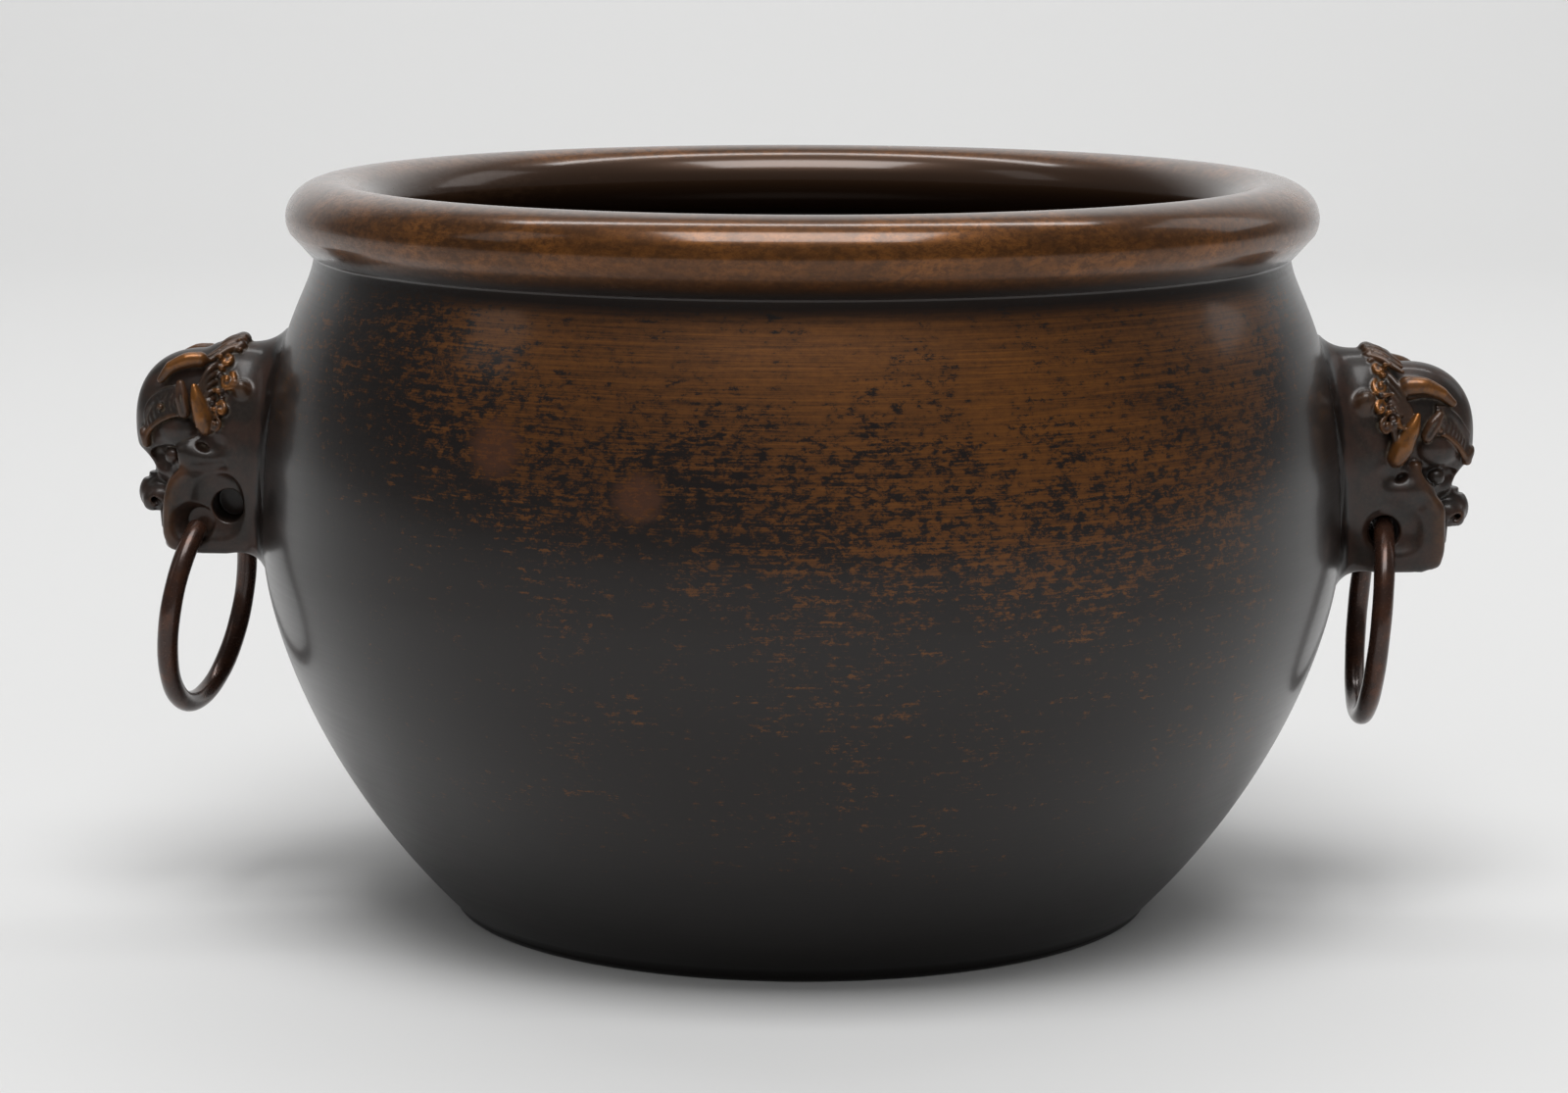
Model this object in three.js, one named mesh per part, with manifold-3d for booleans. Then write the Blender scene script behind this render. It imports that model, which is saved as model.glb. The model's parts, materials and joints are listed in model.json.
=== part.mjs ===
// A round bronze pot with a rolled rim. A lion-mask handle stands out on each side, and a loose
// ring hangs from the hollow of each lion's jaw, through a hole in each cheek.
// Millimetres, +Z up, origin under the middle of the foot. The masks lie on the X axis.

import * as THREE from 'three';
import { mergeVertices } from 'three/addons/utils/BufferGeometryUtils.js';
import Module from 'manifold-3d';

const wasm = await Module();
wasm.setup();

// Pot
const bellyRadius = 125;
const bellyHeight = 86;
const wallThickness = 4.5;
const floorThickness = 5.5;
const footRadius = 81.5;
const footEdge = 1.5;          // rounding between the foot's flat and the wall
const footFlatWidth = 6;
const footRecess = 2.5;        // depth of the bare underside inside the foot
const footSlopeDegrees = 44.8; // lean of the wall where it leaves the foot
const neckRadius = 112.3;
const neckHeight = 152.6;
const ledge = 0.9;             // small step between the neck and the rim's underside

// Rim, a roll with an oval section
const rimRadius = 108.4;
const rimHeight = 161.3;
const rimHalfWidth = 10.2;
const rimHalfHeight = 8.4;

// Rings
const ringRadius = 23.6;       // to the middle of the wire
const ringWire = 2.5;          // half the wire's thickness
const gap = 0.3;               // between pieces that rest on each other

// Lion masks
const trunkWidth = 30;         // the trunk carries the head and is oval
const trunkReach = 9;          // from the pot's wall to the trunk's end inside the head
const trunkSunk = 6;           // into the pot's wall, before the wall's shape is taken away
const trunkFlare = 6;          // how far the trunk spreads where it meets the pot
const headWidth = 26;
const headDepth = 29.6;
const headHeight = 31;         // the skull alone, from its top to the middle of the cheek
const jawWidth = 24;
const jawBack = 4.7;           // from the pot's wall
const hornThickness = 5.4;
const hornSide = 9.2;          // from the head's middle to the middle of each horn
const earLength = 13.6;
const lobeLength = 9;
const eyeSize = 8.4;
const noseWidth = 11;
const scoopWidth = 12.4;       // of the shallow hollow round the hole in each cheek
const holeRadius = 3.85;
const tenonRadius = 7;         // the mask's own stub, through the pot's wall

const at = (out, up) => ({ out, up });

// The two heads were carved one by one, so each has its own places for its features. A place is how
// far it stands out from the pot's wall and up from the middle of the trunk.
const rightHead = {
  height: 104.5,               // middle of the trunk above the table
  trunkHeight: 51.4,
  skull: at(17.2, 7),
  hornBack: at(14.4, 17.6),
  hornTip: at(25.6, 13.8),
  farHornLift: 2,              // how much higher the horn on the far side lies
  ear: at(13.5, 5.3),
  earTilt: 22,                 // degrees that the ear's top leans away from the pot
  lobe: at(20.3, 7.5),
  lobeTilt: 25,
  eye: at(22.5, 3.6),
  nose: at(26.7, -11.6),
  jawFront: 24.2,
  jawFoot: -24.8,
  scoopHeight: 10.4,
  hole: at(10.6, -15.7),
  hinge: at(10.6, -15.7),      // the line that the ring swings about
  ringLean: -4.6,              // degrees that the ring's foot hangs away from the pot
  ringTurn: 1.5,               // degrees that the ring is turned about the vertical
  ringOpening: null,
};
const leftHead = {
  height: 106.8,
  trunkHeight: 48.6,
  skull: at(16, 7),
  hornBack: at(13.7, 21),
  hornTip: at(23.8, 16.2),
  farHornLift: 0,
  ear: at(13.1, 9.9),
  earTilt: 11,
  lobe: at(18.4, 12.6),
  lobeTilt: 6,
  eye: at(20.2, 5.2),
  nose: at(25.8, -11),
  jawFront: 23.4,
  jawFoot: -23.6,
  scoopHeight: 14.8,
  hole: at(8.1, -12.6),
  hinge: at(12.2, -16.3),
  ringLean: 8,
  ringTurn: 14,
  ringOpening: [-6, 30.6],     // this ring is open here, in degrees from its top to the near side
};

// The ring's wire is thinnest seen from the hinge where it passes the throat of each cheek's hole.
const holeThroat = 10;         // from the jaw's middle
const hingeDrop = ringRadius - Math.sqrt(ringRadius ** 2 - holeThroat ** 2);

// Fineness
const potSegments = 64;
const curveSteps = 8;
const rimSteps = 13;
const ringSegments = 40;
const wireSegments = 10;
const ovalSegments = 24;
const roundSegments = 20;

// A closed mesh as a solid. Triangles that shrink to a line at the poles are left out.
function solidOf(geometry) {
  const bare = geometry.clone();
  bare.deleteAttribute('normal');
  bare.deleteAttribute('uv');
  const merged = mergeVertices(bare, 1e-4);
  const corners = merged.index.array;
  const triangles = [];
  for (let i = 0; i < corners.length; i += 3) {
    const [a, b, c] = corners.slice(i, i + 3);
    if (a !== b && b !== c && c !== a) triangles.push(a, b, c);
  }
  const mesh = new wasm.Mesh({
    numProp: 3,
    vertProperties: new Float32Array(merged.attributes.position.array),
    triVerts: new Uint32Array(triangles),
  });
  return new wasm.Manifold(mesh);
}

function geometryOf(solid) {
  const mesh = solid.getMesh();
  const geometry = new THREE.BufferGeometry();
  geometry.setAttribute('position', new THREE.BufferAttribute(mesh.vertProperties, 3));
  geometry.setIndex(new THREE.BufferAttribute(mesh.triVerts, 1));
  geometry.computeVertexNormals();
  return geometry;
}

function joined(geometries) {
  return geometries.map(solidOf).reduce((whole, piece) => whole.add(piece));
}

const degrees = THREE.MathUtils.degToRad;

// Outside of the wall, from the foot's edge up to the neck, as radius and height.
function wallCurves() {
  const slope = degrees(footSlopeDegrees);
  const swell = 0.53 * bellyHeight;
  const foot = new THREE.Vector2(footRadius, footEdge);
  const footPull = new THREE.Vector2(Math.cos(slope), Math.sin(slope)).multiplyScalar(swell).add(foot);
  const lower = new THREE.CubicBezierCurve(
    foot, footPull,
    new THREE.Vector2(bellyRadius, 0.815 * bellyHeight),
    new THREE.Vector2(bellyRadius, bellyHeight),
  );
  const shoulder = neckHeight - bellyHeight;
  const upper = new THREE.CubicBezierCurve(
    new THREE.Vector2(bellyRadius, bellyHeight),
    new THREE.Vector2(bellyRadius, bellyHeight + 0.74 * shoulder),
    new THREE.Vector2(neckRadius + 0.5, neckHeight - 0.145 * shoulder),
    new THREE.Vector2(neckRadius, neckHeight),
  );
  return [lower, upper];
}

function wallPoints() {
  const [lower, upper] = wallCurves();
  return [...lower.getPoints(curveSteps), ...upper.getPoints(curveSteps).slice(1)];
}

// The wall's outline moved outward, or inward where the distance is negative.
function shifted(points, distance) {
  return points.map((point, i) => {
    const before = points[Math.max(i - 1, 0)];
    const after = points[Math.min(i + 1, points.length - 1)];
    const along = after.clone().sub(before).normalize();
    return new THREE.Vector2(point.x + along.y * distance, point.y - along.x * distance);
  });
}

function radiusAt(height, points) {
  const i = points.findIndex((point) => point.y >= height);
  const [a, b] = [points[i - 1], points[i]];
  return THREE.MathUtils.mapLinear(height, a.y, b.y, a.x, b.x);
}

function rimPoints() {
  const roll = new THREE.EllipseCurve(
    rimRadius, rimHeight, rimHalfWidth, rimHalfHeight,
    degrees(-24), degrees(235), false, 0,
  );
  return roll.getPoints(rimSteps);
}

function lathe(points, segments) {
  return new THREE.LatheGeometry(points, segments).rotateX(Math.PI / 2);
}

function potShell() {
  const floorTop = footRecess + floorThickness;
  const inside = shifted(wallPoints(), -wallThickness).filter((point) => point.y > floorTop + 2);
  const cornerIn = inside[0].x;
  const outline = [
    new THREE.Vector2(0, footRecess),
    new THREE.Vector2(footRadius - footEdge - footFlatWidth - footRecess, footRecess),
    new THREE.Vector2(footRadius - footEdge - footFlatWidth, 0),
    new THREE.Vector2(footRadius - footEdge, 0),
    ...wallPoints(),
    new THREE.Vector2(neckRadius + ledge, neckHeight + 0.3 * ledge),
    ...rimPoints(),
    ...inside.reverse(),
    new THREE.Vector2(cornerIn - 4, floorTop),
    new THREE.Vector2(0, floorTop),
  ];
  return lathe(outline, potSegments);
}

// The mask's frame: x out from the pot's wall, y to the side, z up from the middle of the trunk.
function near(spot, out, side, up) {
  return new THREE.Vector3(spot.out + out, side, spot.up + up);
}

// An egg shape, with its top leant away from the pot by a tilt. The larger ones get more faces.
function lump(middle, halfOut, halfSide, halfUp, tilt = 0) {
  const around = Math.max(halfOut, halfSide, halfUp) > 8 ? 18 : 9;
  return new THREE.SphereGeometry(1, around, around * 2 / 3)
    .scale(halfOut, halfSide, halfUp)
    .rotateY(degrees(tilt))
    .translate(middle.x, middle.y, middle.z);
}

// A round bar with closed ends, laid along a curve, as thick at each step as the radius given for it.
function taperedBar(points, radiusAlong) {
  const steps = 7;
  const around = 8;
  const curve = new THREE.CatmullRomCurve3(points);
  const frames = curve.computeFrenetFrames(steps, false);
  const bar = new THREE.CylinderGeometry(1, 1, 1, around, steps);
  const position = bar.attributes.position;
  for (let i = 0; i < position.count; i += 1) {
    const share = position.getY(i) + 0.5;
    const step = Math.round(share * steps);
    const radius = radiusAlong(share);
    const spot = curve.getPointAt(share)
      .addScaledVector(frames.normals[step], position.getX(i) * radius)
      .addScaledVector(frames.binormals[step], -position.getZ(i) * radius);
    position.setXYZ(i, spot.x, spot.y, spot.z);
  }
  return bar;
}

function bothSides(piece) {
  return [1, -1].map(piece);
}

// The oval trunk that carries the head, with its spread foot set square to the wall.
function trunk(head, wallLean) {
  const half = head.trunkHeight / 2;
  const flat = trunkWidth / head.trunkHeight;
  const flareStart = trunkReach / 3;
  const oval = (points) => new THREE.LatheGeometry(points, ovalSegments)
    .rotateZ(-Math.PI / 2)
    .scale(1, flat, 1);
  const neck = oval([
    new THREE.Vector2(0, -trunkSunk),
    new THREE.Vector2(half, -trunkSunk),
    new THREE.Vector2(half, 0.45 * trunkReach),
    new THREE.Vector2(0.96 * half, 0.72 * trunkReach),
    new THREE.Vector2(0.84 * half, 0.94 * trunkReach),
    new THREE.Vector2(0, trunkReach),
  ]);
  const spread = new THREE.EllipseCurve(
    half + trunkFlare, flareStart, trunkFlare, trunkFlare, Math.PI, Math.PI + degrees(78),
  ).getPoints(4).reverse();
  const foot = oval([
    new THREE.Vector2(0, -1.5 * trunkSunk),
    new THREE.Vector2(spread[0].x, -1.5 * trunkSunk),
    ...spread,
    new THREE.Vector2(0, flareStart),
  ]);
  return [neck, foot.rotateY(-wallLean)];
}

function skull(head) {
  return lump(near(head.skull, 0, 0, 0), headDepth / 2, headWidth / 2, headHeight / 2);
}

// A rolled ridge over each eye, from beside the horn down to the front of the brow.
function brows(head) {
  return bothSides((side) => taperedBar([
    near(head.eye, -0.1 * eyeSize, 0.98 * side * eyeSize, 0.62 * eyeSize),
    near(head.eye, 0.42 * eyeSize, 0.95 * side * eyeSize, 0.4 * eyeSize),
    near(head.eye, 0.72 * eyeSize, 0.68 * side * eyeSize, 0.1 * eyeSize),
    near(head.eye, 0.88 * eyeSize, 0.24 * side * eyeSize, -0.2 * eyeSize),
  ], (share) => eyeSize * (0.33 - 0.14 * share)));
}

// Horns lie back along the skull, thick and round behind, thin where they curl down in front.
function horns(head, farSide) {
  return bothSides((side) => {
    const lift = side === farSide ? head.farHornLift : 0;
    const points = [0, 0.35, 0.74, 1].map((share) => new THREE.Vector3(
      THREE.MathUtils.lerp(head.hornBack.out, head.hornTip.out, share),
      side * hornSide,
      THREE.MathUtils.lerp(head.hornBack.up, head.hornTip.up, share ** 3) + lift,
    ));
    return taperedBar(points, (share) => {
      const rounding = Math.sqrt(Math.sin(Math.PI * (0.12 + 0.7 * share)));
      return 0.5 * hornThickness * rounding * (1 - 0.35 * share);
    });
  });
}

function ears(head) {
  return bothSides((side) => lump(
    near(head.ear, 0, side * headWidth / 2, 0),
    0.23 * earLength, 0.19 * earLength, earLength / 2, head.earTilt,
  ));
}

function earLobes(head) {
  return bothSides((side) => lump(
    near(head.lobe, 0, 0.42 * side * headWidth, 0),
    0.21 * lobeLength, 0.24 * lobeLength, lobeLength / 2, head.lobeTilt,
  ));
}

function eyes(head) {
  return bothSides((side) => lump(
    near(head.eye, 0, 0.87 * side * eyeSize, 0), 0.55 * eyeSize, 0.42 * eyeSize, 0.48 * eyeSize,
  ));
}

function nose(head) {
  const half = noseWidth / 2;
  const bulb = lump(near(head.nose, 0, 0, 0), 0.82 * half, half, 0.84 * half);
  const wings = bothSides((side) => lump(
    near(head.nose, -0.1 * half, 0.72 * side * half, -0.32 * half), 0.6 * half, 0.53 * half, 0.53 * half,
  ));
  const bridge = lump(near(head.nose, -0.8 * half, 0, half), half, 0.75 * half, 1.36 * half);
  return [bulb, ...wings, bridge];
}

// Cheeks and jaw: one slab seen from the side, with a wavy front edge and rounded sides.
function jaw(head) {
  const round = 0.09 * jawWidth;
  const width = jawWidth - 2 * round;
  const { jawFront: front, jawFoot: foot } = head;
  const side = new THREE.Shape();
  side.moveTo(jawBack, foot);
  side.lineTo(front - 4, foot);
  side.quadraticCurveTo(front, foot, front, foot + 4);
  side.lineTo(front, 0.5 * foot);
  side.quadraticCurveTo(front, 0.38 * foot, front - 3, 0.27 * foot);
  side.quadraticCurveTo(front - 5, 0.2 * foot, front - 6, 0);
  side.lineTo(jawBack, 0);
  const slab = new THREE.ExtrudeGeometry(side, {
    depth: width,
    curveSegments: 5,
    bevelSize: round,
    bevelThickness: round,
    bevelOffset: -round,
    bevelSegments: 3,
  });
  return slab.translate(0, 0, -width / 2).rotateX(Math.PI / 2);
}

function cheeks(head) {
  const fold = at(0.65 * head.jawFront, 0.33 * head.jawFoot);
  return bothSides((side) => lump(
    near(fold, 0, 0.4 * side * jawWidth, 0),
    0.3 * head.jawFront, 0.14 * jawWidth, 0.14 * jawWidth, 12,
  ));
}

// Curled locks of the ruff, round the back of the head from ear to ear.
function ruff(head) {
  const locks = 8;
  const halfRow = degrees(96);
  const curls = [];
  for (let i = 0; i < locks; i += 1) {
    const angle = halfRow * (2 * i / (locks - 1) - 1);
    curls.push(lump(new THREE.Vector3(
      0.85 * trunkReach,
      0.49 * trunkWidth * Math.sin(angle),
      head.trunkHeight * (0.47 * Math.cos(angle) + 0.02),
    ), trunkReach / 3, trunkReach / 3, trunkReach / 3));
  }
  return curls;
}

// How far from the hinge the ring's wire can reach, at a distance along the hinge from its middle.
function sweepRadius(along) {
  const inner = ringRadius - Math.sqrt((ringRadius - ringWire - gap) ** 2 - along ** 2);
  const outer = ringRadius - Math.sqrt((ringRadius + ringWire + gap) ** 2 - along ** 2);
  return Math.max(inner - hingeDrop, hingeDrop - outer);
}

// The space that the wire sweeps as it swings, between two places along the hinge.
function wireSweep(head, from, to) {
  const steps = Math.ceil((to - from) / 2.5);
  const bell = [new THREE.Vector2(0, from)];
  for (let i = 0; i <= steps; i += 1) {
    const along = THREE.MathUtils.lerp(from, to, i / steps);
    bell.push(new THREE.Vector2(sweepRadius(along), along));
  }
  bell.push(new THREE.Vector2(0, to));
  return new THREE.LatheGeometry(bell, roundSegments)
    .rotateZ(-degrees(head.ringTurn))
    .translate(head.hinge.out, 0, head.hinge.up);
}

// An open ring needs room only where it has wire, and leaves the near hole empty.
function ringSpace(head) {
  const reach = 0.67 * jawWidth;
  if (!head.ringOpening) return [wireSweep(head, -reach, reach)];
  const [first, last] = head.ringOpening
    .map((angle) => (ringRadius - ringWire) * Math.sin(degrees(angle)));
  const holeDepth = 0.4 * jawWidth;
  const hole = new THREE.CylinderGeometry(holeRadius, holeRadius, holeDepth, roundSegments)
    .translate(head.hole.out, jawWidth / 2 + 1 - holeDepth / 2, head.hole.up);
  return [hole, wireSweep(head, -reach, first + gap), wireSweep(head, last - gap, reach)];
}

// The shallow hollow worn round each hole.
function scoops(head) {
  const depth = 0.05 * jawWidth;
  return bothSides((side) => lump(
    near(head.hole, 0.18 * scoopWidth, side * (jawWidth / 2 + depth), 0),
    scoopWidth / 2, 2 * depth, head.scoopHeight / 2,
  ));
}

// The dark hollow under each ear.
function earHollows(head) {
  return bothSides((side) => lump(
    near(head.ear, -0.08 * earLength, 0.43 * side * headWidth, -0.68 * earLength),
    0.2 * earLength, 0.2 * earLength, 0.15 * earLength,
  ));
}

// One mask with its stub through the wall, at its place on the pot's right side.
function mask(head, farSide) {
  const points = wallPoints();
  const seat = radiusAt(head.height, points);
  const rise = 0.4 * head.trunkHeight;
  const wallLean = Math.atan((seat - radiusAt(head.height + rise, points)) / rise);
  const whole = joined([
    ...trunk(head, wallLean), skull(head), ...brows(head), ...horns(head, farSide), ...ears(head),
    ...earLobes(head), ...eyes(head), ...nose(head), jaw(head), ...cheeks(head), ...ruff(head),
  ]);
  const cut = [...scoops(head), ...ringSpace(head), ...earHollows(head)]
    .map(solidOf)
    .reduce((rest, hole) => rest.subtract(hole), whole);
  const standing = geometryOf(cut).translate(seat, 0, head.height);
  const outerWall = shifted(points, gap);
  const potBody = lathe([
    new THREE.Vector2(0, 0), new THREE.Vector2(footRadius, 0), ...outerWall,
    new THREE.Vector2(0, neckHeight),
  ], potSegments);
  const stubLength = wallThickness + trunkSunk;
  const stub = new THREE.CylinderGeometry(tenonRadius, tenonRadius, stubLength, roundSegments)
    .rotateZ(Math.PI / 2)
    .translate(seat - wallThickness + stubLength / 2, 0, head.height);
  return solidOf(standing).subtract(solidOf(potBody)).add(solidOf(stub));
}

// The pot, with a hole through its wall for the stub of each mask.
function pot() {
  const across = tenonRadius + gap;
  const through = 8 * wallThickness;
  const hole = (side, height) => new THREE.CylinderGeometry(across, across, through, roundSegments)
    .rotateZ(Math.PI / 2)
    .translate(side * bellyRadius, 0, height);
  return solidOf(potShell())
    .subtract(solidOf(hole(1, rightHead.height)))
    .subtract(solidOf(hole(-1, leftHead.height)));
}

// What is missing of an open ring: a wedge between two angles, in the ring's own plane.
function wedge([from, to]) {
  const shape = new THREE.Shape([new THREE.Vector2(0, 0), ...[from, to].map((angle) => (
    new THREE.Vector2(Math.sin(degrees(angle)), Math.cos(degrees(angle)))
      .multiplyScalar(2 * ringRadius)
  ))]);
  const depth = 4 * ringWire;
  return new THREE.ExtrudeGeometry(shape, { depth, bevelEnabled: false })
    .translate(0, 0, -depth / 2)
    .rotateX(Math.PI / 2)
    .rotateZ(Math.PI / 2);
}

// A ring hanging at its hinge, which lies a little under the top of its wire.
function ring(head) {
  const seat = radiusAt(head.height, wallPoints());
  const torus = new THREE.TorusGeometry(ringRadius, ringWire, wireSegments, ringSegments)
    .rotateY(Math.PI / 2);
  const wire = head.ringOpening
    ? geometryOf(solidOf(torus).subtract(solidOf(wedge(head.ringOpening))))
    : torus;
  return wire
    .translate(0, 0, hingeDrop - ringRadius)
    .rotateY(-degrees(head.ringLean))
    .rotateZ(-degrees(head.ringTurn))
    .translate(seat + head.hinge.out, 0, head.height + head.hinge.up);
}

const bronze = { color: 0x4a2f22, roughness: 0.42, metalness: 1 };
const wornBronze = { color: 0x5b3a22, roughness: 0.38, metalness: 1 };
const darkBronze = { color: 0x3c2620, roughness: 0.35, metalness: 1 };

function piece(name, geometry, finish) {
  const mesh = new THREE.Mesh(geometry, new THREE.MeshStandardMaterial(finish));
  mesh.name = name;
  return mesh;
}

const left = new THREE.Group();
left.add(
  piece('left_mask_handle', geometryOf(mask(leftHead, -1)), wornBronze),
  piece('left_ring', ring(leftHead), darkBronze),
);
left.rotation.z = Math.PI;

const assembly = new THREE.Group();
assembly.add(
  piece('pot', geometryOf(pot()), bronze),
  piece('right_mask_handle', geometryOf(mask(rightHead, 1)), wornBronze),
  piece('right_ring', ring(rightHead), darkBronze),
  left,
);

export default assembly;
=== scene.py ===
"""A round bronze water pot with a rolled rim, a lion-mask handle on each side and a loose ring in each
lion's jaw. The masks are sculpted as clay is: a block of distances that forms are added to and cut
from, and the skin of that block becomes the mesh."""

import json
import math
from collections import namedtuple

import bmesh
import bpy
import numpy as np
import openvdb
from bpy.props import FloatProperty, FloatVectorProperty, IntProperty, PointerProperty
from mathutils import Euler, Matrix, Vector


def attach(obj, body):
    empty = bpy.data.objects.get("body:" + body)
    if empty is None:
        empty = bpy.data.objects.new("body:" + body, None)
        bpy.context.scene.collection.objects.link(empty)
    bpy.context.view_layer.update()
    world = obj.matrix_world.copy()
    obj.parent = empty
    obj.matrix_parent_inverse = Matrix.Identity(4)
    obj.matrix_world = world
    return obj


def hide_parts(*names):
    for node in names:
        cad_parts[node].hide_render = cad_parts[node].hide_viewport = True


bl_info = {
    "name": "Bronze Water Pot",
    "version": (1, 0, 0),
    "blender": (4, 5, 0),
    "location": "View3D > Sidebar > Water Pot",
    "description": "Makes a bronze water pot with lion-mask handles and loose rings",
    "category": "Add Mesh",
}

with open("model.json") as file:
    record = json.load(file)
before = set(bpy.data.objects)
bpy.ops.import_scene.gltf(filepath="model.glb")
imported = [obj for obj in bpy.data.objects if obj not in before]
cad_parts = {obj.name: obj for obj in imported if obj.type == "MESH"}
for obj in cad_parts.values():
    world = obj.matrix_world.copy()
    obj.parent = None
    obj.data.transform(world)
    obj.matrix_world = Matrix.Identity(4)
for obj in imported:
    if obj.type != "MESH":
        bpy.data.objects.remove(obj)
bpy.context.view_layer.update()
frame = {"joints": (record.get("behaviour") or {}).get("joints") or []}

MM = 0.001


# Sizes and colours that a user may change


def length(name, description, millimetres):
    return FloatProperty(
        name=name, description=description, default=millimetres * MM, unit="LENGTH", subtype="DISTANCE",
        precision=4,
    )


def angle(name, description, degrees):
    return FloatProperty(name=name, description=description, default=math.radians(degrees), subtype="ANGLE")


def power(name, description, watts):
    return FloatProperty(name=name, description=description, default=watts, unit="POWER")


def colour(name, description, rgb):
    return FloatVectorProperty(
        name=name, description=description, default=rgb, subtype="COLOR", min=0, max=1,
    )


class PotSettings(bpy.types.PropertyGroup):
    belly_radius: length("Belly radius", "Widest radius of the pot", 125)
    belly_height: length("Belly height", "Height of the widest place", 86)
    wall: length("Wall", "Thickness of the cast wall", 4.5)
    foot_radius: length("Foot radius", "Radius of the foot's outer edge", 81.5)
    neck_radius: length("Neck radius", "Radius just under the rim", 112.3)
    neck_height: length("Neck height", "Height where the rim's underside starts", 152.6)
    rim_radius: length("Rim radius", "Radius to the middle of the rolled rim", 108.4)
    rim_height: length("Rim height", "Height of the middle of the rolled rim", 161.3)
    rim_half_width: length("Rim half width", "Half the roll's thickness across", 10.2)
    rim_half_height: length("Rim half height", "Half the roll's thickness upright", 8.4)
    patina: colour("Patina", "Near-black brown of the patina", (0.0085, 0.006, 0.0052))
    brown: colour("Shoulder", "Brown of the brushed shoulder", (0.034, 0.0145, 0.007))
    worn: colour("Worn bronze", "Orange-brown where the patina is rubbed", (0.2, 0.072, 0.012))
    stain: colour("Stain", "Reddish round stain", (0.11, 0.04, 0.017))
    golden: colour("Rim bronze", "Golden brown of the polished rim", (0.24, 0.085, 0.014))


class MaskSettings(bpy.types.PropertyGroup):
    height: length("Height", "Middle of the right mask's neck above the table", 104.5)
    grain: FloatProperty(
        name="Grain", description="Size of the sculpting block's cells, in millimetres", default=0.3,
        min=0.2,
    )
    patina: colour("Patina", "Near-black brown of the mask", (0.014, 0.0095, 0.0075))
    wash: colour("Wash", "Dark red-brown that was brushed on in places", (0.036, 0.0165, 0.011))
    worn: colour("Worn bronze", "Golden bronze on the horns, ears and locks", (0.26, 0.1, 0.022))
    wall: colour("Wall", "Near-black of the pot beside the mask", (0.0085, 0.006, 0.0052))
    dust: colour("Dust", "Greyish brown in the hollows", (0.1, 0.077, 0.053))


class RingSettings(bpy.types.PropertyGroup):
    radius: length("Radius", "To the middle of the wire", 23.6)
    wire_radius: length("Wire radius", "Half the thickness of the wire", 2.5)
    right_lean: angle("Right lean", "How far the right ring's foot hangs away from the pot", -4.6)
    left_lean: angle("Left lean", "How far the left ring's foot hangs away from the pot", 8.4)
    open_from: angle("Open from", "Where the left ring's hidden end is, from its top", -6)
    open_to: angle("Open to", "Where the left ring's near end is, from its top", 30.6)
    steps: IntProperty(name="Steps", description="Faces along the wire", default=160, min=24)
    patina: colour("Patina", "Dark red-brown of the wire", (0.04, 0.019, 0.013))
    worn: colour("Worn bronze", "Where fingers rub the wire", (0.12, 0.05, 0.028))


class StudioSettings(bpy.types.PropertyGroup):
    camera_distance: length("Camera distance", "From the pot's axis, level", 966.17)
    camera_height: length("Camera height", "Above the table", 240.76)
    camera_pitch: angle("Pitch", "How far the camera looks down", 9.266)
    camera_yaw: angle("Yaw", "How far the camera looks to the right", -0.242)
    camera_roll: angle("Roll", "Turn about the line of sight", 0.102)
    lens: FloatProperty(
        name="Lens", description="Focal length on a 36 mm sensor", default=96.06, subtype="DISTANCE_CAMERA",
    )
    paper: colour("Paper", "Pale paper that the pot stands on", (0.77, 0.77, 0.767))
    top_light: power("Top light", "Power of the softbox overhead", 40)
    back_light: power("Back light", "Power of the lamp on the backdrop", 32)
    left_light: power("Left light", "Power of the left softbox", 0.8)
    right_light: power("Right light", "Power of the right softbox", 2)
    front_light: power("Front light", "Power of the fill in front", 9)
    room_light: FloatProperty(
        name="Room light", description="Strength of the white surroundings", default=0.12,
    )


# Shader maths


class Value:
    """A socket of a material. Arithmetic on it adds Math nodes."""

    def __init__(self, paint, socket):
        self.paint = paint
        self.socket = socket

    def maths(self, operation, other):
        return self.paint.node("ShaderNodeMath", {"operation": operation}, {0: self, 1: other})

    def __add__(self, other):
        return self.maths("ADD", other)

    __radd__ = __add__

    def __sub__(self, other):
        return self.maths("SUBTRACT", other)

    def __rsub__(self, other):
        return self * -1 + other

    def __mul__(self, other):
        return self.maths("MULTIPLY", other)

    __rmul__ = __mul__

    def __pow__(self, other):
        return self.maths("POWER", other)

    def smaller(self, other):
        return self.maths("MINIMUM", other)

    def between(self, low, high):
        """0 below low, 1 above high, with a smooth step between them."""
        settings = {"interpolation_type": "SMOOTHSTEP"}
        inputs = {"Value": self, "From Min": low, "From Max": high}
        return self.paint.node("ShaderNodeMapRange", settings, inputs)


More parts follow.
